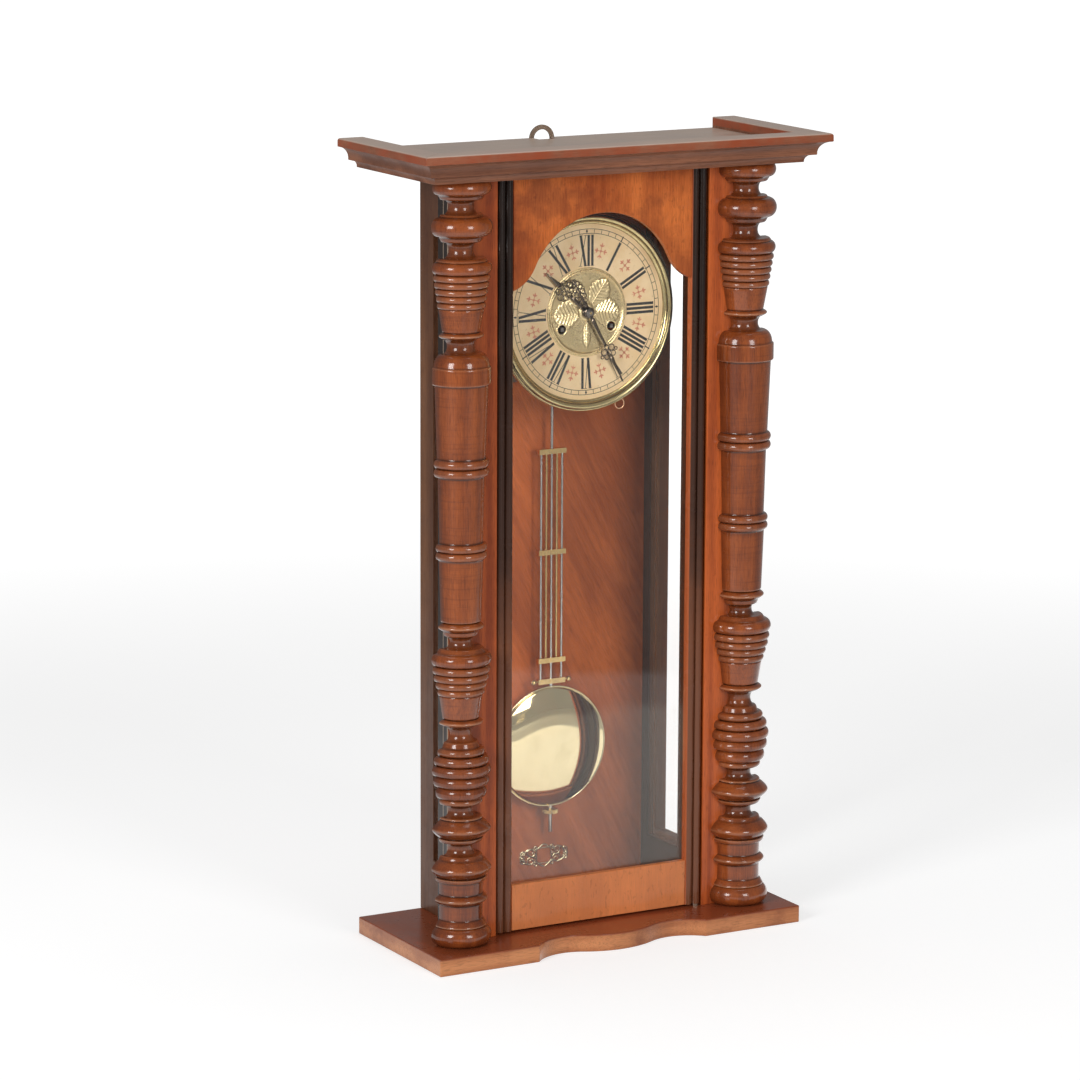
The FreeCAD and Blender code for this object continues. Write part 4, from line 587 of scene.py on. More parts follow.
def bezel_finish(n, coords, color, worn):
    """Old polish lies dark in the two turned grooves, at their distances from the dial's middle."""
    radius = dial_radius(n, coords)
    for groove in (bezel_rim - 0.9 * MM, bezel_rim - 6.6 * MM):
        off = n.math("ABSOLUTE", n.minus(radius, groove))
        color = n.mix(n.times(n.ramp(off, 0.7 * MM, 0.2 * MM), 0.8), color, tone(60, 44, 22))
    return color


# The height about which the closed film of dust on the glass ends, in metres, half the width of that edge,
# how much the film hides and its colour; that closed lower film is also a painted reflection of the floor
FILM_EDGE, FILM_SOFT, LOW_FILM_AND_REFLECTION, FILM_COLOR = 0.225, 0.012, 0.032, (0.8, 0.79, 0.7, 1.0)
# The clear panes: a trace of green, a thin streaky haze, and how much they bend and mirror light
GLASS_TINT, GLASS_HAZE, GLASS_IOR = (0.995, 1.0, 0.995, 1.0), 0.005, 1.36


def glass(name, low_film_and_reflection):
    """Old clear glass: light and shadow pass it, and the eye sees its gloss under a thin film of dust,
    in wiped streaks above and closed on its lower part, where the film is also a painted reflection of the
    floor."""
    material, n, shader, coords = new_material(name)
    n.feed(shader, {"Base Color": GLASS_TINT, "Roughness": 0.0, "Transmission Weight": 1.0, "IOR": GLASS_IOR})
    streaks = n.noise(n.stretched(placed(n, coords, WIPED), (1.0, 1.0, 0.2)), 22.0, 5.0, 0.6)
    uneven = n.times(n.minus(n.noise(coords, 9.0, 2.0), 0.5), 0.1)
    # The closed lower film: dust and a painted reflection of the floor.
    low = n.ramp(n.plus(parts_of(n, coords)["Z"], uneven), FILM_EDGE + FILM_SOFT, FILM_EDGE - FILM_SOFT)
    dust = n.add("ShaderNodeBsdfDiffuse", {0: FILM_COLOR})
    film = n.plus(n.times(n.ramp(streaks, 0.35, 0.8), GLASS_HAZE), n.times(low, low_film_and_reflection))
    dusty_and_reflecting = n.add("ShaderNodeMixShader", {0: film, 1: shader.outputs[0], 2: dust.outputs[0]})
    clear = n.add("ShaderNodeBsdfTransparent", {0: GLASS_TINT})
    path = n.add("ShaderNodeLightPath").outputs
    passing = n.math("MAXIMUM", path["Is Shadow Ray"], path["Is Diffuse Ray"])
    seen = n.add("ShaderNodeMixShader", {0: passing, 1: dusty_and_reflecting.outputs[0], 2: clear.outputs[0]})
    output = [node for node in n.tree.nodes if node.type == "OUTPUT_MATERIAL"][0]
    n.tree.links.new(seen.outputs[0], output.inputs["Surface"])
    return material


def dial_paper():
    """The cream chapter: yellowed unevenly, darker to the rim, with small foxing spots."""
    material, n, shader, coords = new_material("cream_chapter")
    radius = dial_radius(n, coords)
    worn = group_in(n, WEAR, coords=coords, size=40.0, spots=1.0)
    color = n.mix(n.ramp(worn["Cloud"], 0.3, 0.7), tone(242, 212, 168), tone(232, 198, 148))
    color = n.mix(n.times(n.ramp(radius, 70 * MM, 86 * MM), 0.3), color, tone(206, 168, 110))
    color = n.mix(n.times(worn["Spots"], 0.35), color, tone(160, 112, 64))
    n.feed(shader, {"Base Color": color, "Roughness": n.plus(0.38, n.times(worn["Cloud"], 0.2))})
    bump(n, shader, worn["Cloud"], 2 * FINE_RELIEF)
    return material


def print_ink(name, dense, thin):
    """Printed ink that lies a little thin in places."""
    material, n, shader, coords = new_material(name)
    worn = group_in(n, WEAR, coords=coords, size=180.0, spots=0.8)
    color = n.mix(n.times(n.ramp(worn["Cloud"], 0.5, 0.75), 0.5), dense, thin)
    n.feed(shader, {"Base Color": color, "Roughness": n.plus(0.35, n.times(worn["Cloud"], 0.3))})
    return material


# Values that the finishes read from the frame
base_top = float(span("base_board")[1][2])
cornice_top = float(span("cornice_front")[1][2])
board_top = float(span("top_board")[1][2])
stile_inner = float(span("door_right_stile")[0][0])
side_inner = float(span("right_side_frame")[0][0])
pilaster_out = float(span("right_pilaster")[1][0])
pilaster_front = float(span("right_pilaster")[0][1])
column_x = float(sum(span("right_column")[i][0] for i in (0, 1)) / 2)
BEZEL_BEAD = 1.4 * MM
bezel_rim = float(span("bezel")[1][0] - span("bezel")[0][0]) / 2 - BEZEL_BEAD
RELIEF_UNDER = 0.4 * MM
relief_ground = dial_y - RELIEF_UNDER


# The woods, metals and other finishes of the clock

def woods():
    """The woods by name."""
    top_walnut = {
        "light": tone(152, 100, 74), "dark": tone(104, 64, 46), "grain": ACROSS, "figure": 10.0, "flame": 1.0,
        "mottle": 0.4, "coat": 0.25,
    }
    return {
        "rail": wood(
            "rail_veneer", tone(218, 119, 58), tone(160, 74, 33), figure=14.0, flame=1.6, stripe=0.05,
            mottle=0.9, gloss=(0.24, 0.4), coat=0.3, finish=rail_finish, polish=0.14,
        ),
        "column": wood(
            "turned_walnut", tone(166, 86, 40), tone(108, 49, 22), figure=12.0, flame=1.0, stripe=0.1,
            mottle=0.5, gloss=(0.2, 0.32), coat=0.75, finish=turned_finish, polish=0.12,
        ),
        "pilaster": wood(
            "pilaster_walnut", tone(198, 97, 44), tone(144, 63, 28), figure=11.0, flame=1.4, stripe=0.25,
            finish=pilaster_finish,
        ),
        "base": wood(
            "base_walnut", tone(212, 141, 92), tone(172, 103, 62), ACROSS, figure=12.0, flame=1.0, mottle=0.4,
            gloss=(0.22, 0.4), coat=0.4, finish=base_finish,
        ),
        "side": wood(
            "side_walnut", tone(128, 86, 58), tone(84, 51, 34), flame=1.2, stripe=0.25, gloss=(0.35, 0.55),
            coat=0.2, finish=side_finish,
        ),
        "cornice": wood("cornice_walnut", finish=dust_and_sheen_top, **top_walnut),
        "board": wood("board_walnut", finish=dust_and_sheen_board, **top_walnut),
        "back": wood(
            "back_veneer", tone(208, 108, 50), tone(158, 75, 31), FLAME, figure=20.0, flame=1.3, stripe=0.05,
            mottle=0.35, gloss=(0.45, 0.6), coat=0.1,
        ),
        "ebony": wood(
            "ebonised_wood", tone(50, 33, 24), tone(28, 18, 13), flame=1.0, gloss=(0.22, 0.36), coat=0.4,
            finish=stile_finish,
        ),
    }


def metals():
    """The metals by name."""
    return {
        "brass": metal("aged_brass", tone(214, 182, 124), tone(132, 98, 58), rough=(0.2, 0.42)),
        "pale_brass": metal("pale_brass", tone(216, 200, 160), tone(150, 128, 88), 0.35, (0.2, 0.4)),
        "bezel": metal(
            "bezel_brass", tone(200, 182, 134), tone(126, 102, 62), rough=(0.16, 0.32), size=40.0,
            finish=bezel_finish,
        ),
        "bob": metal(
            "bob_brass", tone(234, 216, 172), tone(190, 162, 112), 0.22, (0.05, 0.14), size=30.0,
            depth=FINE_RELIEF / 5,
        ),
        "relief": metal(
            "pressed_brass", tone(222, 200, 154), tone(178, 148, 100), 0.3, (0.27, 0.42), size=50.0,
            finish=relief_finish,
        ),
        "iron": metal(
            "old_iron", tone(146, 128, 112), tone(88, 68, 56), 0.6, (0.4, 0.7), size=90.0,
            depth=3 * FINE_RELIEF,
        ),
        "dull_steel": metal("dull_steel", tone(118, 112, 106), tone(66, 58, 52), 0.5, (0.3, 0.5)),
        "steel": metal("bright_steel", tone(196, 192, 186), tone(120, 112, 104), rough=(0.22, 0.42)),
        "blued": metal("dark_hands", tone(110, 97, 84), tone(48, 38, 31), 0.5, (0.16, 0.32), size=80.0),
        "copper": metal("trip_copper", tone(226, 180, 138), tone(156, 106, 70), 0.35, (0.24, 0.45)),
    }


LOOK = {
    **woods(),
    **metals(),
    "glass": glass("old_glass", LOW_FILM_AND_REFLECTION),
    "side_glass": glass("side_glass", 0.0),
    "cream": dial_paper(),
    "black": print_ink("numeral_black", tone(24, 20, 18), tone(52, 42, 34)),
    "coral": print_ink("sprig_coral", tone(214, 132, 102), tone(226, 170, 134)),
}


# CAD shapes with worn edges

# An edge is sharp from this angle on, and facets that meet at less than the other are one flat face
SHARP, FLAT = math.radians(32), math.radians(0.4)


def dressed(node, look, bevel):
    """A CAD node's own shape with its edges rounded by wear: doubles merged, flat facets joined, bevelled by
    angle."""
    mesh = nodes[node].data.copy()
    mesh.name = node + "_worn"
    if "custom_normal" in mesh.attributes:
        mesh.attributes.remove(mesh.attributes["custom_normal"])
    shape = bmesh.new()
    shape.from_mesh(mesh)
    bmesh.ops.remove_doubles(shape, verts=shape.verts, dist=1e-6)
    bmesh.ops.dissolve_limit(shape, angle_limit=FLAT, verts=shape.verts, edges=shape.edges)
    for face in shape.faces:
        face.smooth = True
    for edge in shape.edges:
        edge.smooth = edge.calc_face_angle(0.0) < SHARP
    shape.to_mesh(mesh)
    shape.free()
    round_over = stand_in(mesh, look, node).modifiers.new("worn_edges", "BEVEL")
    round_over.width = bevel
    round_over.segments = 2
    round_over.limit_method = "ANGLE"
    round_over.angle_limit = SHARP
    round_over.harden_normals = True


# How far wear has rounded each piece's edges, in millimetres, by finish
WORN = {
    "base": {"base_board": 1.4},
    "back": {"back_board": 0.3},
    "side": {"left_side_frame": 0.7, "right_side_frame": 0.7},
    "board": {"top_board": 0.6},
    "cornice": {"cornice_front": 0.5, "cornice_left": 0.5, "cornice_right": 0.5},
    "pilaster": {"left_pilaster": 0.6, "right_pilaster": 0.6},
    "ebony": {"door_left_stile": 0.4, "door_right_stile": 0.4},
    "rail": {"door_top_rail": 0.6, "door_bottom_rail": 0.6},
    "iron": {"hanger_plate": 0.25},
    "brass": {"crossbars": 0.4},
}
# The CAD pieces that keep their own mesh, by finish
PLAIN = {
    "glass": ["door_glass"],
    "side_glass": ["left_side_glass", "right_side_glass"],
    "iron": ["case_screws", "gong_block", "movement_bracket", "hinge_pins"],
    "brass": [
        "front_plate", "back_plate", "plate_pillars", "suspension_cock", "dial_pan", "brass_rods",
        "escape_wheel", "third_wheel", "centre_wheel", "time_barrel", "strike_barrel", "pin_wheel",
        "minute_wheel", "hour_wheel",
    ],
    "cream": ["chapter_ring"],
    "steel": ["suspension_spring", "pendulum_rod", "steel_rods", "anchor", "hammer", "cannon_pinion"],
    "dull_steel": ["time_winding_arbor", "strike_winding_arbor", "hand_nut"],
    "blued": ["gong_coil"],
    "copper": ["trip_wire"],
}


def dress_cad():
    """Worn copies for the case's woods, and finishes on the CAD pieces whose shape stays."""
    for look, members in WORN.items():
        for node, bevel in members.items():
            dressed(node, look, bevel * MM)
    for look, members in PLAIN.items():
        for node in members:
            nodes[node].data.materials.clear()
            nodes[node].data.materials.append(LOOK[look])


# The turned half columns

# From the foot up: form, height and largest (or smallest) radius in millimetres, and a taper's upper
# or a disc's root radius
TURNINGS = [
    ("bead", 19, 30.5), ("taper", 6, 26.5, 23), ("taper", 15, 22, 22), ("disc", 10.5, 27, 21.5),
    ("taper", 12.5, 22, 22.4), ("taper", 4, 25.5, 26.5), ("disc", 17, 30.5, 24), ("taper", 4.5, 23, 21),
    ("neck", 12.5, 13), ("taper", 4, 21, 23), ("disc", 19, 30, 20.5), ("taper", 2, 22, 21),
    ("neck", 12, 12.5), ("bead", 6, 22), ("bead", 12, 26), ("bead", 10.5, 28.5), ("bead", 10, 30),
    ("bead", 9, 28), ("bead", 7.5, 24), ("taper", 6, 19, 17), ("neck", 15, 11.5), ("disc", 7.5, 22.5, 17),
    ("taper", 22.5, 18.5, 22), ("bead", 7, 24), ("bead", 7, 26), ("bead", 7.5, 28), ("bead", 7.5, 29.3),
    ("bead", 12.5, 30.5), ("taper", 4.5, 25, 22), ("neck", 11, 11.5), ("taper", 4.5, 16.5, 18),
    ("disc", 9.5, 23.5, 17.5), ("taper", 60, 20.5, 22.5), ("bead", 7.7, 26), ("bead", 7.8, 26),
    ("taper", 63.5, 22, 23.5), ("bead", 8.5, 28), ("bead", 8.5, 28), ("taper", 70.5, 24.5, 27),
    ("taper", 16.5, 29.5, 29.5), ("dome", 12.5, 28, 20), ("neck", 13.5, 14), ("disc", 6.7, 23, 18),
    ("taper", 21.8, 19, 23), ("bead", 6.5, 24.5), ("bead", 6.5, 25.5), ("bead", 6.5, 26.5),
    ("bead", 6.5, 27.5), ("bead", 6.5, 28.5), ("bead", 12, 30), ("taper", 3, 26, 24), ("neck", 15, 12.5),
    ("taper", 5, 20, 22.5), ("bead", 18.5, 30.6), ("taper", 2.5, 22, 21), ("neck", 13.5, 13),
    ("taper", 4.5, 21, 23.5), ("bead", 14.1, 29.5),
]
# A bead's and a neck's depth as shares of their height, and the power of a disc's fall
BEAD_DEPTH, NECK_DEPTH, DISC_EDGE = 0.42, 0.32, 1.45
# Points along each member, the step between points of the whole outline, and how far wear blurs a point
# into each of its neighbours
MEMBER_POINTS, OUTLINE_STEP, OUTLINE_BLUR = 25, 1.0 * MM, 0.22
# How far up and down a wider member shelters grime and casts painted shade, and the depths that hold them or
# are rubbed and painted as a highlight in full
GRIME_AND_SHADE_REACH, GRIME_AND_SHADE_DEPTH, GROOVE_DEPTH, RUBBED_DEPTH = 7 * MM, 9 * MM, 0.4 * MM, 0.35 * MM
# Shares of painted shade under wider members and on faces that look down, and the least relief that is rubbed
# and painted as a highlight
SHELTERED, UNDERSIDE, RUBBED_FROM = 0.3, 0.45, 0.4
# Painted shade in the corner between column and board: its share, and the cosine from the board where it
# starts
CORNER_SHADE, CORNER_FROM = 0.6, 0.94
COLUMN_STEPS, COLUMN_SHARP = 46, math.radians(50)


def member_radii(form, high, low, top, t):
    """Radii of one turned member at t from -1, its foot, to 1, its top. A bead is half an ellipse and a neck
    its hollow: R -+ depth (1 - sqrt(1 - t^2)); a disc falls from its edge to its roots as |t|^1.45; a dome is
    a quarter ellipse, and a taper a straight line."""
    bow = 1 - np.sqrt(1 - t ** 2)
    rise = (t + 1) / 2
    return {
        "bead": low - high * BEAD_DEPTH * bow,
        "neck": low + high * NECK_DEPTH * bow,
        "disc": low - (low - top) * np.abs(t) ** DISC_EDGE,
        "dome": top + (low - top) * np.sqrt(1 - rise ** 2),
        "taper": low + (top - low) * rise,
    }[form]


def column_outline(foot, head):
    """The (radius, z) outline from the foot up: members one on another, resampled evenly along it and rubbed
    by a blur."""
    share = (head - foot) / (sum(row[1] for row in TURNINGS) * MM)
    z, rows = foot, []
    for form, high, low, *top in TURNINGS:
        t = np.cos(np.linspace(np.pi, 0, MEMBER_POINTS))
        radius = member_radii(form, high, low, top[0] if top else low, t) * MM
        rows.append(np.stack([radius, z + high * MM * share * (t + 1) / 2], axis=1))
        z += high * MM * share
    rows = np.concatenate(rows)
    along = np.concatenate([[0], np.cumsum(np.hypot(*np.diff(rows, axis=0).T))])
    even = np.linspace(0, along[-1], int(along[-1] / OUTLINE_STEP))
    line = np.stack([np.interp(even, along, rows[:, i]) for i in (0, 1)], axis=1)
    line[1:-1] = (line[:-2] + line[2:]) * OUTLINE_BLUR + line[1:-1] * (1 - 2 * OUTLINE_BLUR)
    return line


def outline_marks(line):
    """Grime and painted shade: how far the outline lies under its own mean, in grooves, and a little painted
    shade by how far it lies under the widest member near it or faces down. Rubbed and a painted highlight:
    how far it stands over its mean."""
    near = np.abs(line[:, 1][:, None] - line[:, 1][None, :])
    widest = np.where(near < GRIME_AND_SHADE_REACH, line[:, 0][None, :], 0).max(axis=1)
    smooth = np.convolve(np.pad(line[:, 0], 2, mode="edge"), np.full(5, 0.2), mode="valid")
    groove = np.clip((smooth - line[:, 0]) / GROOVE_DEPTH, 0, 1)
    outward, upward = np.gradient(line[:, 0]), np.gradient(line[:, 1])
    under = np.clip(outward / np.maximum(np.hypot(outward, upward), 1e-9), 0, 1)
    deep = np.clip((widest - line[:, 0]) / GRIME_AND_SHADE_DEPTH, 0, 1)
    grime_and_shade = np.clip(groove + SHELTERED * deep + UNDERSIDE * under ** 2, 0, 1)
    return grime_and_shade, np.clip((line[:, 0] - smooth) / RUBBED_DEPTH - RUBBED_FROM, 0, 1)


def column(node):
    """A half column: its outline carried half round a vertical axis, from the left of the back to its right,
    closed by its flat back and by a point on the axis at each end."""
    low, high = span(node)
    centre = ((low[0] + high[0]) / 2, high[1])
    line = column_outline(low[2], high[2])
    grime_and_shade, rubbed = outline_marks(line)
    ends = np.array([[0.0, low[2]], [0.0, high[2]]])
    whole = np.concatenate([ends[:1], line, ends[1:]])
    points = turned_about_z(whole, centre, COLUMN_STEPS, math.pi, math.pi)[0]
    mesh = mesh_of(node + "_turned", points, grid_faces(len(whole), COLUMN_STEPS, close_columns=True))
    # Painted shade in the corner where the half column meets the board.
    beside = np.abs(np.cos(np.linspace(math.pi, TURN, COLUMN_STEPS)))
    corner = CORNER_SHADE * np.clip((beside - CORNER_FROM) / (1 - CORNER_FROM), 0, 1)
    for name, marks, least in (("grime_and_shade", grime_and_shade, corner), ("rubbed", rubbed, 0 * corner)):
        keep_marks(mesh, name, np.maximum(np.pad(marks, 1)[:, None], least[None, :]))
    outwards(mesh)
    mesh.set_sharp_from_angle(angle=COLUMN_SHARP)
    stand_in(mesh, "column", node)


# The dial

def on_dial(u, v, angle, y):
    """Dial places: u across and v outwards along a ray at a clockwise angle from twelve, at a depth y."""
    x = dial_x + u * np.cos(angle) + v * np.sin(angle)
    z = dial_z - u * np.sin(angle) + v * np.cos(angle)
    return np.stack([x, np.broadcast_to(y, x.shape), z], axis=-1)


NUMERALS = ["XII", "I", "II", "III", "IIII", "V", "VI", "VII", "VIII", "IX", "X", "XI"]
NUMERAL_LOW, NUMERAL_HIGH = 44.2 * MM, 74.0 * MM
THICK, THIN = 2.65 * MM, 0.65 * MM
SERIF_HIGH, SERIF_WIDE = 0.45 * MM, 1.3 * THICK
V_FOOT = 0.3 * MM
ADVANCE = {"I": 4.1 * MM, "V": 7.8 * MM, "X": 8.2 * MM}
PRINT_LIFT = 0.06 * MM


def slanted(foot, head, wide, low=NUMERAL_LOW, high=NUMERAL_HIGH):
    """A stroke's four corners from its foot and head places across and its width."""
    half = wide / 2
    return [(foot - half, low), (foot + half, low), (head + half, high), (head - half, high)]


def letter_strokes(letter, at):
    """The strokes of one numeral letter, centred on a place across: heavy down strokes, hair lines and
    serifs."""
    lean = (ADVANCE[letter] - THICK) / 2
    strokes = {
        "I": [slanted(at, at, THICK)],
        "V": [slanted(at, at - lean, THICK), slanted(at + V_FOOT, at + lean, THIN)],
        "X": [slanted(at + lean, at - lean, THICK), slanted(at - lean, at + lean, THIN)],
    }[letter]
    ends = {
        "I": [(0, 0), (0, 1)],
        "V": [(-lean, 1), (lean, 1)],
        "X": [(-lean, 1), (lean, 1), (lean, 0), (-lean, 0)],
    }[letter]
    for shift, top in ends:
        low = NUMERAL_HIGH - SERIF_HIGH if top else NUMERAL_LOW
        strokes.append(slanted(at + shift, at + shift, SERIF_WIDE, low, low + SERIF_HIGH))
    return strokes


def quads_on_dial(corners, angle, lift):
    """Flat quads from (n, 4, 2) corners and an angle for each, just in front of the dial."""
    corners = np.asarray(corners, float)
    angle = np.broadcast_to(np.asarray(angle, float), len(corners))[:, None]
    points = on_dial(corners[..., 0], corners[..., 1], angle, dial_y - lift)
    return points.reshape(-1, 3), np.arange(len(corners) * 4).reshape(-1, 4)


def numerals():
    """Roman numerals set radially, tops outwards, with their strokes as quads."""
    corners, angles = [], []
    for hour, word in enumerate(NUMERALS):
        wide = sum(ADVANCE[letter] for letter in word)
        at = -wide / 2
        for letter in word:
            strokes = letter_strokes(letter, at + ADVANCE[letter] / 2)
            corners += strokes
            angles += [hour * TURN / 12] * len(strokes)
            at += ADVANCE[letter]
    return quads_on_dial(corners, angles, PRINT_LIFT)


TRACK_IN, TRACK_OUT, TRACK_LINE = 75.8 * MM, 79.5 * MM, 0.55 * MM
# The bars at the five minutes, and half a lozenge at the quarters
BAR_WIDE, BAR_REACH = 1.1 * MM, 1.2 * MM
LOZENGE_HIGH, LOZENGE_WIDE, LOZENGE_LIFT = 1.9 * MM, 1.178 * MM, 1.3 * PRINT_LIFT


def ring_on_dial(inner, outer, lift, steps=360):
    """A flat ring on the dial: radius from inner to outer at every angle."""
    angle = np.linspace(0, TURN, steps, endpoint=False)
    zero = np.zeros(steps)
    points = np.stack([on_dial(zero, zero + r, angle, dial_y - lift) for r in (inner, outer)])
    return points, grid_faces(2, steps, close_columns=True)


def track():
    """Two fine circles, a tick for each minute, a bar at the five minutes and a lozenge at the quarters."""
    minute = np.arange(60)
    broad = (minute % 5 == 0) & (minute % 15 != 0)
    bar = np.where(broad, BAR_WIDE, TRACK_LINE) / 2
    reach = np.where(broad, BAR_REACH, 0.0)
    low, high = TRACK_IN - reach, TRACK_OUT + reach
    across = np.stack([-bar, bar, bar, -bar], axis=1)
    out = np.stack([low, low, high, high], axis=1)
    middle = (TRACK_IN + TRACK_OUT) / 2
    lozenge = np.array([
        (0, middle - LOZENGE_HIGH), (LOZENGE_WIDE, middle),
        (0, middle + LOZENGE_HIGH), (-LOZENGE_WIDE, middle),
    ])
    return [
        ring_on_dial(TRACK_IN - TRACK_LINE, TRACK_IN, PRINT_LIFT),
        ring_on_dial(TRACK_OUT, TRACK_OUT + TRACK_LINE, PRINT_LIFT),
        quads_on_dial(np.stack([across, out], axis=-1), minute * TURN / 60, PRINT_LIFT),
        quads_on_dial(np.repeat(lozenge[None], 4, axis=0), np.arange(4) * TURN / 4, LOZENGE_LIFT),
    ]


SPRIG_MIDDLE = 59.5 * MM
# Petals on the sprig's own line, and those on its right, which its left repeats: a cross of stems, a bud and
# a trefoil on each arm. Each has its root across and outwards from the sprig's middle, its way in degrees
# from outwards, its length and its greatest width, in millimetres.
MIDDLE_PETALS = [(0, 0, 0, 6.6, 0.8), (0, 0, 180, 8.2, 0.8), (0, -1.7, 0, 3.4, 2.3), (0, 4.4, 0, 4.0, 1.7)]
RIGHT_PETALS = [
    (0, 0, 90, 5.4, 0.8), (0, 4.2, 52, 3.4, 1.4), (3.6, 0, 90, 3.6, 1.6), (3.4, 0, 38, 3.2, 1.3),
    (3.4, 0, 142, 3.2, 1.3), (0, -4.0, 135, 3.6, 1.3),
]
LEFT_PETALS = [(-across, out, -way, *size) for across, out, way, *size in RIGHT_PETALS]


def sprigs():
    """Twelve sprigs between the numerals: petals as thin leaf shapes,
    half width = w/2 sin(pi s)^0.8 at a share s of the length."""
    share = np.linspace(0, 1, 9)
    parts = []
    for across, out, way, length, wide in MIDDLE_PETALS + RIGHT_PETALS + LEFT_PETALS:
        half = wide / 2 * np.sin(np.pi * share) ** 0.8
        edge = np.stack([np.stack([-half, share * length], 1), np.stack([half, share * length], 1)])
        a = math.radians(way)
        u = (across + edge[..., 0] * math.cos(a) + edge[..., 1] * math.sin(a)) * MM
        v = SPRIG_MIDDLE + (out - edge[..., 0] * math.sin(a) + edge[..., 1] * math.cos(a)) * MM
        for hour in range(12):
            points = on_dial(u, v, np.full(u.shape, (hour + 0.5) * TURN / 12), dial_y - PRINT_LIFT)
            parts.append((points, grid_faces(2, len(share))))
    return parts


def facing_front(mesh):
    """Turns flat faces to look along -y, out of the dial."""
    shape = bmesh.new()
    shape.from_mesh(mesh)
    shape.normal_update()
    bmesh.ops.reverse_faces(shape, faces=[face for face in shape.faces if face.normal.y > 0])
    shape.to_mesh(mesh)
    shape.free()
    return mesh


def dial_print():
    """The printing on the chapter ring."""
    for name, parts, look in (
        ("dial_numerals", [numerals()] + track(), "black"),
        ("dial_sprigs", sprigs(), "coral"),
    ):
        new_piece(facing_front(mesh_of(name, *gathered(parts), smooth=False)), look, "case")


RING_OUT, RING_IN = 43.0 * MM, 38.0 * MM
BOSS_RAD, BORE_RAD = 8.6 * MM, 4.2 * MM
RELIEF_HIGH, RELIEF_RINGS, RELIEF_STEPS = 1.2 * MM, 130, 560
# The stipple's share of that height, and its waves along a millimetre of radius and round the dial
STIPPLE, STIPPLE_OUT, STIPPLE_ROUND = 0.02, 5.5, 90
# Dirt and painted shadow lines lie beside what stands higher than this share, as far as so many places out
# and round
RAISED, DIRT_SHADE_REACH, DIRT_SHADE_GAIN = 0.1, (3, 5), 2.4
COLLAR_OUT, COLLAR_IN = 6.2 * MM, 4.4 * MM
# How far the relief's sheet runs under the boss, the ring and the winding collars
UNDER_BOSS, UNDER_RING, UNDER_COLLAR = 0.5 * MM, 0.4 * MM, 0.6 * MM
# The stepped ring's arcs from its edge inwards: radius and height over the chapter ring at start and end,
# and bulge, in millimetres, and the number of points
RING_ARCS = [(43.0, 0.3, 41.7, 0.9, 0.25, 6), (41.5, 0.8, 38.9, 0.9, 1.2, 14), (38.8, 0.7, 38.0, 0.4, 0.1, 5)]
SHEET_BACK = 1.0 * MM
# Each leaf: its way clockwise from twelve in degrees, then its root radius, tip radius and half width in
# millimetres
LEAVES = both_ways([(36, 5, 38.0, 11.4), (94, 5, 36.5, 13.4)]) + [(180, 8, 34.5, 4.0)]


def leaf_height(u, v, root, tip, half):
    """A leaf's height at places across and along it: a crowned blade with a notched edge, a midrib, slanting
    veins and a hollow on each side of the rib."""
    share = np.clip((v - root) / (tip - root), 0, 1)
    edge = half * np.sin(np.pi * share ** 1.25) ** 0.8 * (0.9 + 0.14 * np.abs(np.sin(7 * np.pi * share)))
    across = np.abs(u) / np.maximum(edge, 1e-6)
    inside = (across < 1) & (share > 0) & (share < 1)
    blade = np.sqrt(np.clip(1 - across ** 2, 0, 1))
    rib = np.exp(-((u / 0.5) ** 2)) * 0.35
    veins = 0.15 * np.cos(TURN * (9 * share - 1.6 * across))
    hollow = 0.16 * np.exp(-(((across - 0.5) / 0.22) ** 2)) * np.sin(np.pi * share)
    return np.where(inside, 0.25 + 0.5 * blade + rib + (veins - hollow) * blade, 0.0)


def relief():
    """The pressed centre: a polar grid whose height is the highest leaf at each place over a stippled ground.
    Its third array darkens the ground along the leaves' edges, soiling and painted shadow lines: their mean
    over the places near, off the leaves."""
    radius = np.linspace(BOSS_RAD - UNDER_BOSS, RING_IN + UNDER_RING, RELIEF_RINGS)[:, None] / MM
    angle = np.linspace(0, TURN, RELIEF_STEPS, endpoint=False)[None, :]
    height = STIPPLE * np.sin(radius * STIPPLE_OUT) * np.sin(angle * STIPPLE_ROUND)
    for way, root, tip, half in LEAVES:
        off = angle - math.radians(way)
        u, v = radius * np.sin(off), radius * np.cos(off)
        height = np.maximum(height, np.where(v > 0, leaf_height(u, v, root, tip, half), 0))
    fade = np.clip((radius - BOSS_RAD / MM) / 1.5, 0, 1) * np.clip((RING_IN / MM - radius) / 1.0, 0, 1)
    height = height * fade
    raised = height > RAISED
    near = raised.astype(float)
    for axis, reach in enumerate(DIRT_SHADE_REACH):
        near = sum(np.roll(near, k, axis) for k in range(-reach, reach + 1)) / (2 * reach + 1)
    # Soiling and painted shadow lines on the ground beside the raised leaves.
    dirt_and_shade = np.where(raised, 0.0, np.clip(near * DIRT_SHADE_GAIN, 0, 1))
    zero = np.zeros(np.broadcast_shapes(radius.shape, angle.shape))
    points = on_dial(zero, zero + radius * MM, zero + angle, relief_ground - height * RELIEF_HIGH)
    faces = grid_faces(RELIEF_RINGS, RELIEF_STEPS, close_columns=True)
    middle = points.reshape(-1, 3)[faces].mean(axis=1)
    clear = np.ones(len(faces), bool)
    for spot in wind_spots:
        clear &= np.hypot(middle[:, 0] - spot[0], middle[:, 2] - spot[2]) > COLLAR_OUT - UNDER_COLLAR
    return points, faces[clear], dirt_and_shade


def pressed_ring(bore, edge, lift, hollow, count):
    """The profile of a low ring in the sheet: highest at its bore, falling to its edge in a hollow arc."""
    back = dial_y + SHEET_BACK
    crest = (bore, relief_ground - lift)
    return np.concatenate([
        [(bore, back), crest],
        arc_points(crest, (edge, relief_ground), -hollow, count),
        [(edge, back)],
    ])


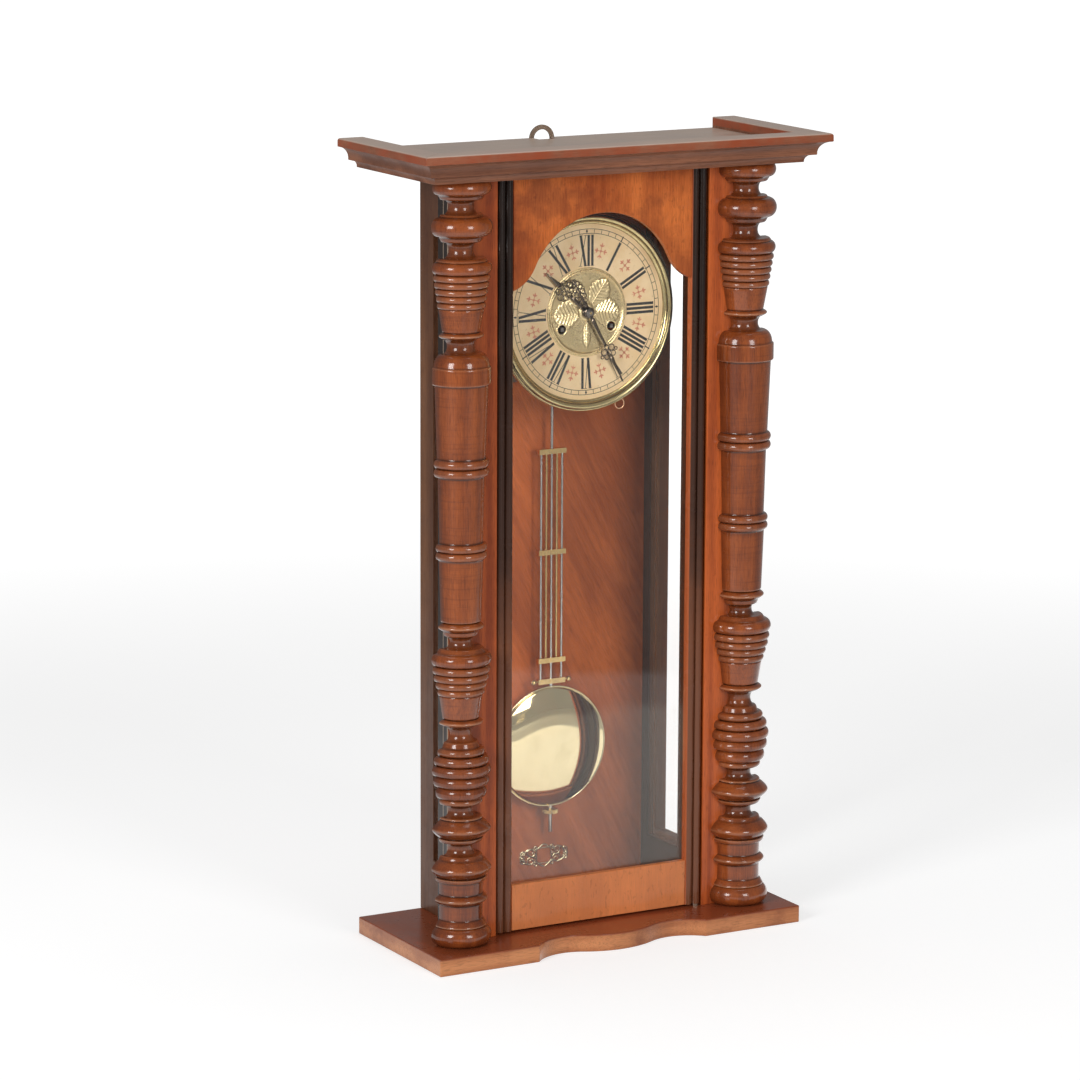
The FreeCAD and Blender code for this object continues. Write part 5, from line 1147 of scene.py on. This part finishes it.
def dial_centre():
    """Stepped ring, relief, hub boss and winding collars, pressed from one sheet of brass."""
    arcs = [
        arc_points((r * MM, dial_y - h * MM), (r2 * MM, dial_y - h2 * MM), bulge * MM, count)
        for r, h, r2, h2, bulge, count in RING_ARCS
    ]
    back = dial_y + SHEET_BACK
    ring = np.concatenate([[(RING_OUT, back)], *arcs, [(RING_IN, back)]])
    boss = pressed_ring(BORE_RAD, BOSS_RAD, 0.7 * MM, 0.35 * MM, 8)
    collar = pressed_ring(COLLAR_IN, COLLAR_OUT, 0.4 * MM, 0.45 * MM, 10)
    centre = (dial_x, dial_z)
    *pressed, dirt_and_shade = relief()
    parts = [pressed, turned_about_y(ring, centre, 240), turned_about_y(boss, centre, 96)]
    parts += [turned_about_y(collar, (spot[0], spot[2]), 64) for spot in wind_spots]
    mesh = mesh_of("dial_centre_relief", *gathered(parts))
    # Darkening round the leaves: soiling and painted shadow lines.
    keep_marks(mesh, "grime_and_shade", dirt_and_shade)
    facing_out_of_dial(mesh)
    stand_in(mesh, "relief", "dial_centre")


def facing_out_of_dial(mesh):
    """Turns the faces of shells outwards, each shell by its own volume, and open sheets to the front."""
    shape = bmesh.new()
    shape.from_mesh(mesh)
    bmesh.ops.remove_doubles(shape, verts=shape.verts, dist=1e-7)
    bmesh.ops.recalc_face_normals(shape, faces=shape.faces)
    shape.normal_update()
    todo = set(shape.faces)
    while todo:
        shell, front = set(), [todo.pop()]
        while front:
            face = front.pop()
            shell.add(face)
            near = {other for edge in face.edges for other in edge.link_faces} & todo
            todo -= near
            front += near
        if sum(face.normal.y * face.calc_area() for face in shell) > 1e-9:
            bmesh.ops.reverse_faces(shape, faces=list(shell))
    shape.to_mesh(mesh)
    shape.free()


# The bezel's width, the knurls' depth, half their length along the rim, their number and the steps round it
BEZEL_WIDE, KNURL_DEPTH, KNURL_HALF, KNURLS, BEZEL_STEPS = 9.6 * MM, 1.0 * MM, 2.2 * MM, 280, 1120


def bezel():
    """Turned brass bezel: knurled edge, broad convex ring, groove and inner cove, carried round the dial."""
    low, high = span("bezel")
    back, crest = high[1], low[1]
    rim, inner = bezel_rim, bezel_rim - BEZEL_WIDE
    seat = inner + 5.2 * MM
    face = dial_y
    knurl_low, knurl_high = back - 4.4 * MM, face - 2.0 * MM
    ring_out, ring_in = (rim - 1.0 * MM, knurl_high - 0.2 * MM), (inner + 3.3 * MM, face - 3.4 * MM)
    cove_out, cove_in = (inner + 2.8 * MM, face - 3.1 * MM), (inner, face - 0.6 * MM)
    profile = np.concatenate([
        [(seat, back), (rim, back)],
        arc_points((rim, knurl_low), (rim, knurl_high), BEZEL_BEAD, 12),
        [(rim - 0.8 * MM, knurl_high + 0.5 * MM)],
        arc_points(ring_out, ring_in, 2.0 * MM, 22),
        [(inner + 3.1 * MM, face - 2.6 * MM), (inner + 2.9 * MM, face - 3.1 * MM)],
        arc_points(cove_out, cove_in, -0.5 * MM, 10),
        [(inner, face + SHEET_BACK), (seat, face + SHEET_BACK), (seat, back)],
    ])
    profile[:, 1] = np.maximum(profile[:, 1], crest)

    def knurls(points, angle):
        """Takes depth (1 - |sin(n a / 2)|) off the radius of the rim's bead, fading to its two ends."""
        off = (points[:, 1] - (knurl_low + knurl_high) / 2) / KNURL_HALF
        on_rim = np.exp(-(off ** 4)) * (points[:, 0] > rim)
        return -KNURL_DEPTH * on_rim[:, None] * (1 - np.abs(np.sin(angle * KNURLS / 2)))[None, :]

    mesh = outwards(mesh_of("bezel_turned", *turned_about_y(profile, (dial_x, dial_z), BEZEL_STEPS, knurls)))
    stand_in(mesh, "bezel", "bezel")


# The hands

def hand_angle(node):
    """The clockwise angle of a hand at rest, from its point furthest from the dial's middle."""
    points = np.array([v.co for v in nodes[node].data.vertices])
    x, z = points[:, 0] - dial_x, points[:, 2] - dial_z
    far = np.argmax(np.hypot(x, z))
    return math.atan2(x[far], z[far])


def hand_bar(angle, y, rows, high):
    """A slim bar along the hand: rows of (place along, half width), the section a low oval."""
    rows = np.array(rows, float) * MM
    way = np.full(len(rows), angle)
    path = on_dial(np.zeros(len(rows)), rows[:, 0], way, y)
    return capped(oval_tube(path, rows[:, 1], high)[0])


def oval_tube(path, wide, high, closed=False, sides=12):
    """A low oval section carried along a path in the dial's plane, with half width wide and half height
    high."""
    normal = np.array([0.0, 1.0, 0.0])
    wide = np.broadcast_to(np.asarray(wide, float), len(path))
    return tube_in_plane(path, wide, normal, sides, closed, (high / wide)[:, None, None])


def hand_ring(angle, y, u, v, radius, wall, high):
    """An open ring in a hand: a low oval section carried round a circle."""
    turn = np.linspace(0, TURN, 28, endpoint=False)
    across, along = (u + radius * np.sin(turn)) * MM, (v + radius * np.cos(turn)) * MM
    path = on_dial(across, along, np.full(turn.shape, angle), y)
    return oval_tube(path, wall * MM, high, closed=True, sides=8)


def hand_disc(y_front, y_back, radius, bore):
    """The hand's boss: a low domed ring round the arbor."""
    profile = np.concatenate([
        [(bore, y_back), (bore, y_front)],
        arc_points((bore, y_front), (radius, (y_front + y_back) / 2), -0.15 * MM, 6),
        [(radius, y_back)],
    ])
    return turned_about_y(np.concatenate([profile, profile[:1]]), (dial_x, dial_z), 48)


HAND_BOSS, MINUTE_BORE, HOUR_BORE = 5.4 * MM, 1.6 * MM, 2.6 * MM
# Rows of (place along, half width) for bars, and (across, along, radius, wall) for rings, in millimetres
MINUTE_BARS = [
    [(4, 1.9), (10, 2.1), (20, 1.6), (34, 1.3), (37.6, 1.7)],
    [(47.8, 1.2), (52.5, 2.4), (56, 1.9), (66, 1.2), (78.7, 0.3)],
    [(-4, 1.9), (-10, 2.4), (-14, 1.2), (-30, 0.8), (-36.5, 0.7)],
]
MINUTE_RINGS = both_ways([
    (4.7, 42.2, 3.0, 0.6), (3.9, 48.0, 2.5, 0.6), (8.4, 45.6, 1.4, 0.5), (2.4, -13, 1.7, 0.5),
    (3.2, -17.6, 2.1, 0.55), (3.7, -22.6, 2.3, 0.55), (3.4, -27.6, 2.1, 0.55), (2.4, -32, 1.8, 0.5),
]) + [(0, 39.6, 2.2, 0.6), (0, 45.0, 2.3, 0.6), (0, -35.4, 1.9, 0.55)]
HOUR_BARS = [
    [(4, 2.1), (10, 2.3), (20, 1.9), (26, 1.8)],
    [(40.5, 1.7), (43.5, 2.6), (46, 2.1), (53, 1.3), (61.7, 0.3)],
]
HOUR_RINGS = both_ways([
    (4.6, 28.4, 2.7, 0.5), (7.8, 33.4, 2.9, 0.5), (2.6, 32.8, 2.4, 0.45), (5.0, 38.6, 2.7, 0.5),
]) + [(0, 27.4, 2.4, 0.5), (0, 37.6, 2.2, 0.45)]


def hand(node, bars, rings, bore):
    """A pierced hand: bars and open rings of one low oval section, cut from one sheet."""
    low, high = span(node)
    y, half = (low[1] + high[1]) / 2, (high[1] - low[1]) / 2
    angle = hand_angle(node)
    parts = [hand_bar(angle, y, rows, half) for rows in bars]
    parts += [hand_ring(angle, y, u, v, radius, wall, half) for u, v, radius, wall in rings]
    parts.append(hand_disc(low[1], high[1], HAND_BOSS, bore))
    stand_in(outwards(mesh_of(node + "_pierced", *gathered(parts))), "blued", node)


# The pendulum

# The bob's rolled rim: its width and half its thickness
BOB_RIM, BOB_EDGE = 2.2 * MM, 1.6 * MM


def bob():
    """The lenticular bob: a shallow dome in front and behind, with a thin rolled rim."""
    low, high = span("bob")
    radius = (high[0] - low[0]) / 2
    centre = ((low[0] + high[0]) / 2, (low[2] + high[2]) / 2)
    middle, half = (low[1] + high[1]) / 2, (high[1] - low[1]) / 2
    rim = radius - BOB_RIM
    share = np.linspace(0.0, 1.0, 40)
    dome = np.stack([share * rim, middle - half + (half - BOB_EDGE) * share ** 3], axis=1)
    bead = arc_points((rim + 0.2 * MM, middle - BOB_EDGE + 0.3 * MM), (radius, middle), 0.9 * MM, 10)
    front = np.concatenate([dome, bead])
    back = np.stack([front[::-1, 0], 2 * middle - front[::-1, 1]], axis=1)
    mesh = outwards(mesh_of("bob_lens", *turned_about_y(np.concatenate([front, back]), centre, 180)))
    stand_in(mesh, "bob", "bob")


NUT_BORE, NUT_STEP = 1.35 * MM, 0.5 * MM
FLUTE_DEPTH, FLUTES, NUT_STEPS = 0.35 * MM, 40, 240


def rating_nut():
    """The knurled nut under the bob: a turned drum with fine flutes round its edge."""
    low, high = span("rating_nut")
    radius = (high[0] - low[0]) / 2
    centre = ((low[0] + high[0]) / 2, (low[1] + high[1]) / 2)
    foot, head = low[2], high[2]
    narrow = radius - NUT_STEP / 2
    profile = np.array([
        (NUT_BORE, foot), (radius * 0.6, foot), (radius * 0.72, foot + NUT_STEP), (narrow, foot + NUT_STEP),
        (radius, foot + 2 * NUT_STEP), (radius, head - 2 * NUT_STEP), (narrow, head - NUT_STEP),
        (radius * 0.7, head - NUT_STEP), (radius * 0.6, head), (NUT_BORE, head), (NUT_BORE, foot),
    ])

    def flutes(points, angle):
        """Takes depth |sin(n a / 2)| off the radius of the drum's edge."""
        edge = points[:, 0] > radius - 0.1 * MM
        return -FLUTE_DEPTH * edge[:, None] * np.abs(np.sin(angle * FLUTES / 2))[None, :]

    shell = turned_about_z(profile, centre, NUT_STEPS, ripple=flutes)
    stand_in(outwards(mesh_of("rating_nut_knurled", *shell, smooth=False)), "brass", "rating_nut")


# The plate at the foot of the back board

# The scrolls of one quarter: middle across and up from the plate's middle and outer radius in millimetres,
# first angle in degrees, turns and way
SCROLLS = [(14.5, 4.6, 5.2, 200, 1.35, 1), (23.2, 3.6, 3.8, 250, 1.2, 1), (9.6, 8.4, 2.6, 300, 1.1, -1)]
# How far the sprays stay inside the plate, half the width of the frame round the bare middle, and how far
# that frame stays inside the plate's height
SPRAY_INSET, FRAME_WIDE, FRAME_INSET = 0.8 * MM, 8.4 * MM, 4.2 * MM


def scroll(x, z, y, radius, start, turns, way):
    """A scroll: a low oval section along a spiral whose radius falls to a quarter."""
    share = np.linspace(0, 1, 48)
    turn = math.radians(start) + way * TURN * turns * share
    reach = radius * (1 - 0.75 * share)
    path = np.stack([x + reach * np.cos(turn), np.full(share.shape, y), z + reach * np.sin(turn)], axis=1)
    return capped(oval_tube(path, (1.0 - 0.45 * share) * MM, 0.6 * MM, sides=8)[0])


def beat_plate():
    """Openwork brass: mirrored scrolls round a bare middle in a thin frame, held by two long sprays.
    The frame follows |x/a|^5 + |z/b|^5 = 1."""
    low, high = span("beat_plate")
    x, z = (low[0] + high[0]) / 2, (low[2] + high[2]) / 2
    y = (low[1] + high[1]) / 2
    long, tall = (high[0] - low[0]) / 2, (high[2] - low[2]) / 2
    parts = []
    share = np.linspace(0, 1, 40)
    swell = np.cos(share * math.pi / 2) ** 0.6 * (0.82 + 0.18 * np.cos(share * 9))
    for side, flip in ((1, 1), (1, -1), (-1, 1), (-1, -1)):
        for across, up, radius, start, turns, way in SCROLLS:
            first = flip * start if side > 0 else 180 - flip * start
            place = (x + side * across * MM, z + flip * up * MM, y)
            parts.append(scroll(*place, radius * MM, first, turns, side * flip * way))
        across, up = side * share * (long - SPRAY_INSET), flip * (tall - SPRAY_INSET) * swell
        path = np.stack([x + across, np.full(share.shape, y), z + up], axis=1)
        parts.append(capped(oval_tube(path, 0.85 * MM, 0.55 * MM, sides=8)[0]))
    turn = np.linspace(0, TURN, 72, endpoint=False)
    round_in = (np.abs(np.cos(turn)) ** 5 + np.abs(np.sin(turn)) ** 5) ** -0.2
    across, up = FRAME_WIDE * round_in * np.cos(turn), (tall - FRAME_INSET) * round_in * np.sin(turn)
    middle = np.stack([x + across, np.full(turn.shape, y), z + up], axis=1)
    parts.append(oval_tube(middle, 0.7 * MM, 0.5 * MM, closed=True, sides=8))
    stand_in(outwards(mesh_of("beat_plate_scrolls", *gathered(parts))), "pale_brass", "beat_plate")


# Camera, light and floor

# Where the camera looks, its own back and right ways, its roll, and its lens in pixels of a square frame
TARGET = np.array([0.0007, 0.0, 0.3724])
BACK = np.array([-0.4792, -0.8554, 0.1966])
RIGHT = np.array([0.8724, -0.4888, 0.0])
ROLL = math.radians(0.25)
LENS_PIXELS, FRAME_PIXELS, SENSOR = 4656.2, 1080.0, 36.0
EYE_DISTANCE = 4.5636


def camera():
    """The photograph's camera: from the left and a little above, with a long lens."""
    back = BACK / np.linalg.norm(BACK)
    right = RIGHT - back * (RIGHT @ back)
    right /= np.linalg.norm(right)
    up = np.cross(back, right)
    right, up = right * math.cos(ROLL) + up * math.sin(ROLL), up * math.cos(ROLL) - right * math.sin(ROLL)
    eye = TARGET + back * EYE_DISTANCE
    data = bpy.data.cameras.new("photo_camera")
    data.sensor_width = SENSOR
    data.lens = LENS_PIXELS / FRAME_PIXELS * SENSOR
    data.clip_end = 100.0
    seen = in_scene("photo_camera", data)
    turn = np.stack([right, up, back], axis=1)
    seen.matrix_world = Matrix(np.block([[turn, eye[:, None]], [np.eye(4)[3:]]]).tolist())
    bpy.context.scene.camera = seen


LAMPS_AIM = Vector((0.0, 0.0, 0.4))
# Each lamp: place and size in metres, and power in watts
LAMPS = {
    "key": ((-2.7, -1.35, 1.35), (0.9, 1.3), 58.0),
    "fill": ((0.35, -3.1, 1.25), (0.9, 1.3), 39.0),
    "over": ((0.2, 0.3, 3.0), (2.2, 1.6), 26.0),
}


def lights():
    """Soft studio light from both front corners and from above."""
    for name, (place, (wide, tall), power) in LAMPS.items():
        data = bpy.data.lights.new(name, "AREA")
        data.energy = power
        data.shape = "RECTANGLE"
        data.size, data.size_y = wide, tall
        light = in_scene(name, data)
        light.location = place
        light.rotation_euler = (LAMPS_AIM - Vector(place)).to_track_quat("-Z", "Y").to_euler()


WHITE = (1.0, 1.0, 1.0, 1.0)
# How much brighter glass lets the surroundings look, the world's own light, and what mirrors add to it
THROUGH_GLASS, WORLD_LIGHT, WORLD_MIRRORED = 1.3, 0.18, 0.1


def seen_and_mirrored(n):
    """Two masks for a ray: it comes from the eye, a little stronger through glass; it was mirrored on
    its way."""
    path = n.add("ShaderNodeLightPath").outputs
    mirrored = n.math("MINIMUM", path["Glossy Depth"], 1.0)
    through = n.times(path["Is Transmission Ray"], THROUGH_GLASS)
    seen = n.math("MAXIMUM", path["Is Camera Ray"], through)
    return n.times(seen, n.minus(1.0, mirrored)), mirrored


def world():
    """White to the eye, softer as a light, and a dim room in mirrors above the horizon."""
    scene_world = bpy.data.worlds.new("studio")
    scene_world.use_nodes = True
    n = Nodes(scene_world.node_tree)
    n.tree.nodes.clear()
    eye, mirrored = seen_and_mirrored(n)
    lit = n.plus(WORLD_LIGHT, n.times(mirrored, WORLD_MIRRORED))
    strength = n.math("MAXIMUM", eye, lit)
    sky = n.add("ShaderNodeBackground", {"Color": WHITE, "Strength": strength})
    n.add("ShaderNodeOutputWorld", {"Surface": sky.outputs[0]})
    bpy.context.scene.world = scene_world


FLOOR_HALF = 30.0
# The floor glows to the eye by this much near the clock and by the rest far off, and in mirrors by these
FLOOR_NEAR, MIRROR_NEAR, MIRROR_FAR = 0.61, 0.8, 0.22


def grey(share):
    """A grey of a share of white."""
    return (share, share, share, 1.0)


def floor():
    """A white floor that keeps soft shadows; in mirrors it is white near the clock and dims further off."""
    corners = FLOOR_HALF * np.array([(-1, -1, 0), (1, -1, 0), (1, 1, 0), (-1, 1, 0)])
    mesh = mesh_of("floor", corners, [[0, 1, 2, 3]])
    in_scene("floor", mesh)
    material, n, shader, coords = new_material("white_floor")
    place = parts_of(n, coords)
    reach = length_of(n, place["X"], place["Y"])
    ripple = n.times(n.minus(n.noise(coords, 1.6), 0.5), 0.5)
    far = n.ramp(n.plus(reach, ripple), 1.15, 1.25)
    away = n.ramp(reach, 0.8, 3.0)
    eye, mirrored = seen_and_mirrored(n)
    mirror = n.times(mirrored, n.minus(MIRROR_NEAR, n.times(far, MIRROR_NEAR - MIRROR_FAR)))
    near_tone = n.mix(n.noise(coords, 2.2, 3.0), grey(0.48), grey(0.5))
    bright = n.plus(FLOOR_NEAR, n.times(away, 1 - FLOOR_NEAR))
    n.feed(shader, {
        "Base Color": n.mix(n.times(mirrored, far), near_tone, grey(0.3)),
        "Roughness": 0.9,
        "Specular IOR Level": 0.1,
        "Emission Color": WHITE,
        "Emission Strength": n.plus(n.times(eye, bright), mirror),
    })
    mesh.materials.append(material)


dress_cad()
column("left_column")
column("right_column")
dial_print()
dial_centre()
bezel()
hand("minute_hand", MINUTE_BARS, MINUTE_RINGS, MINUTE_BORE)
hand("hour_hand", HOUR_BARS, HOUR_RINGS, HOUR_BORE)
bob()
rating_nut()
beat_plate()
camera()
lights()
world()
floor()
bpy.context.scene.view_settings.view_transform = "Standard"
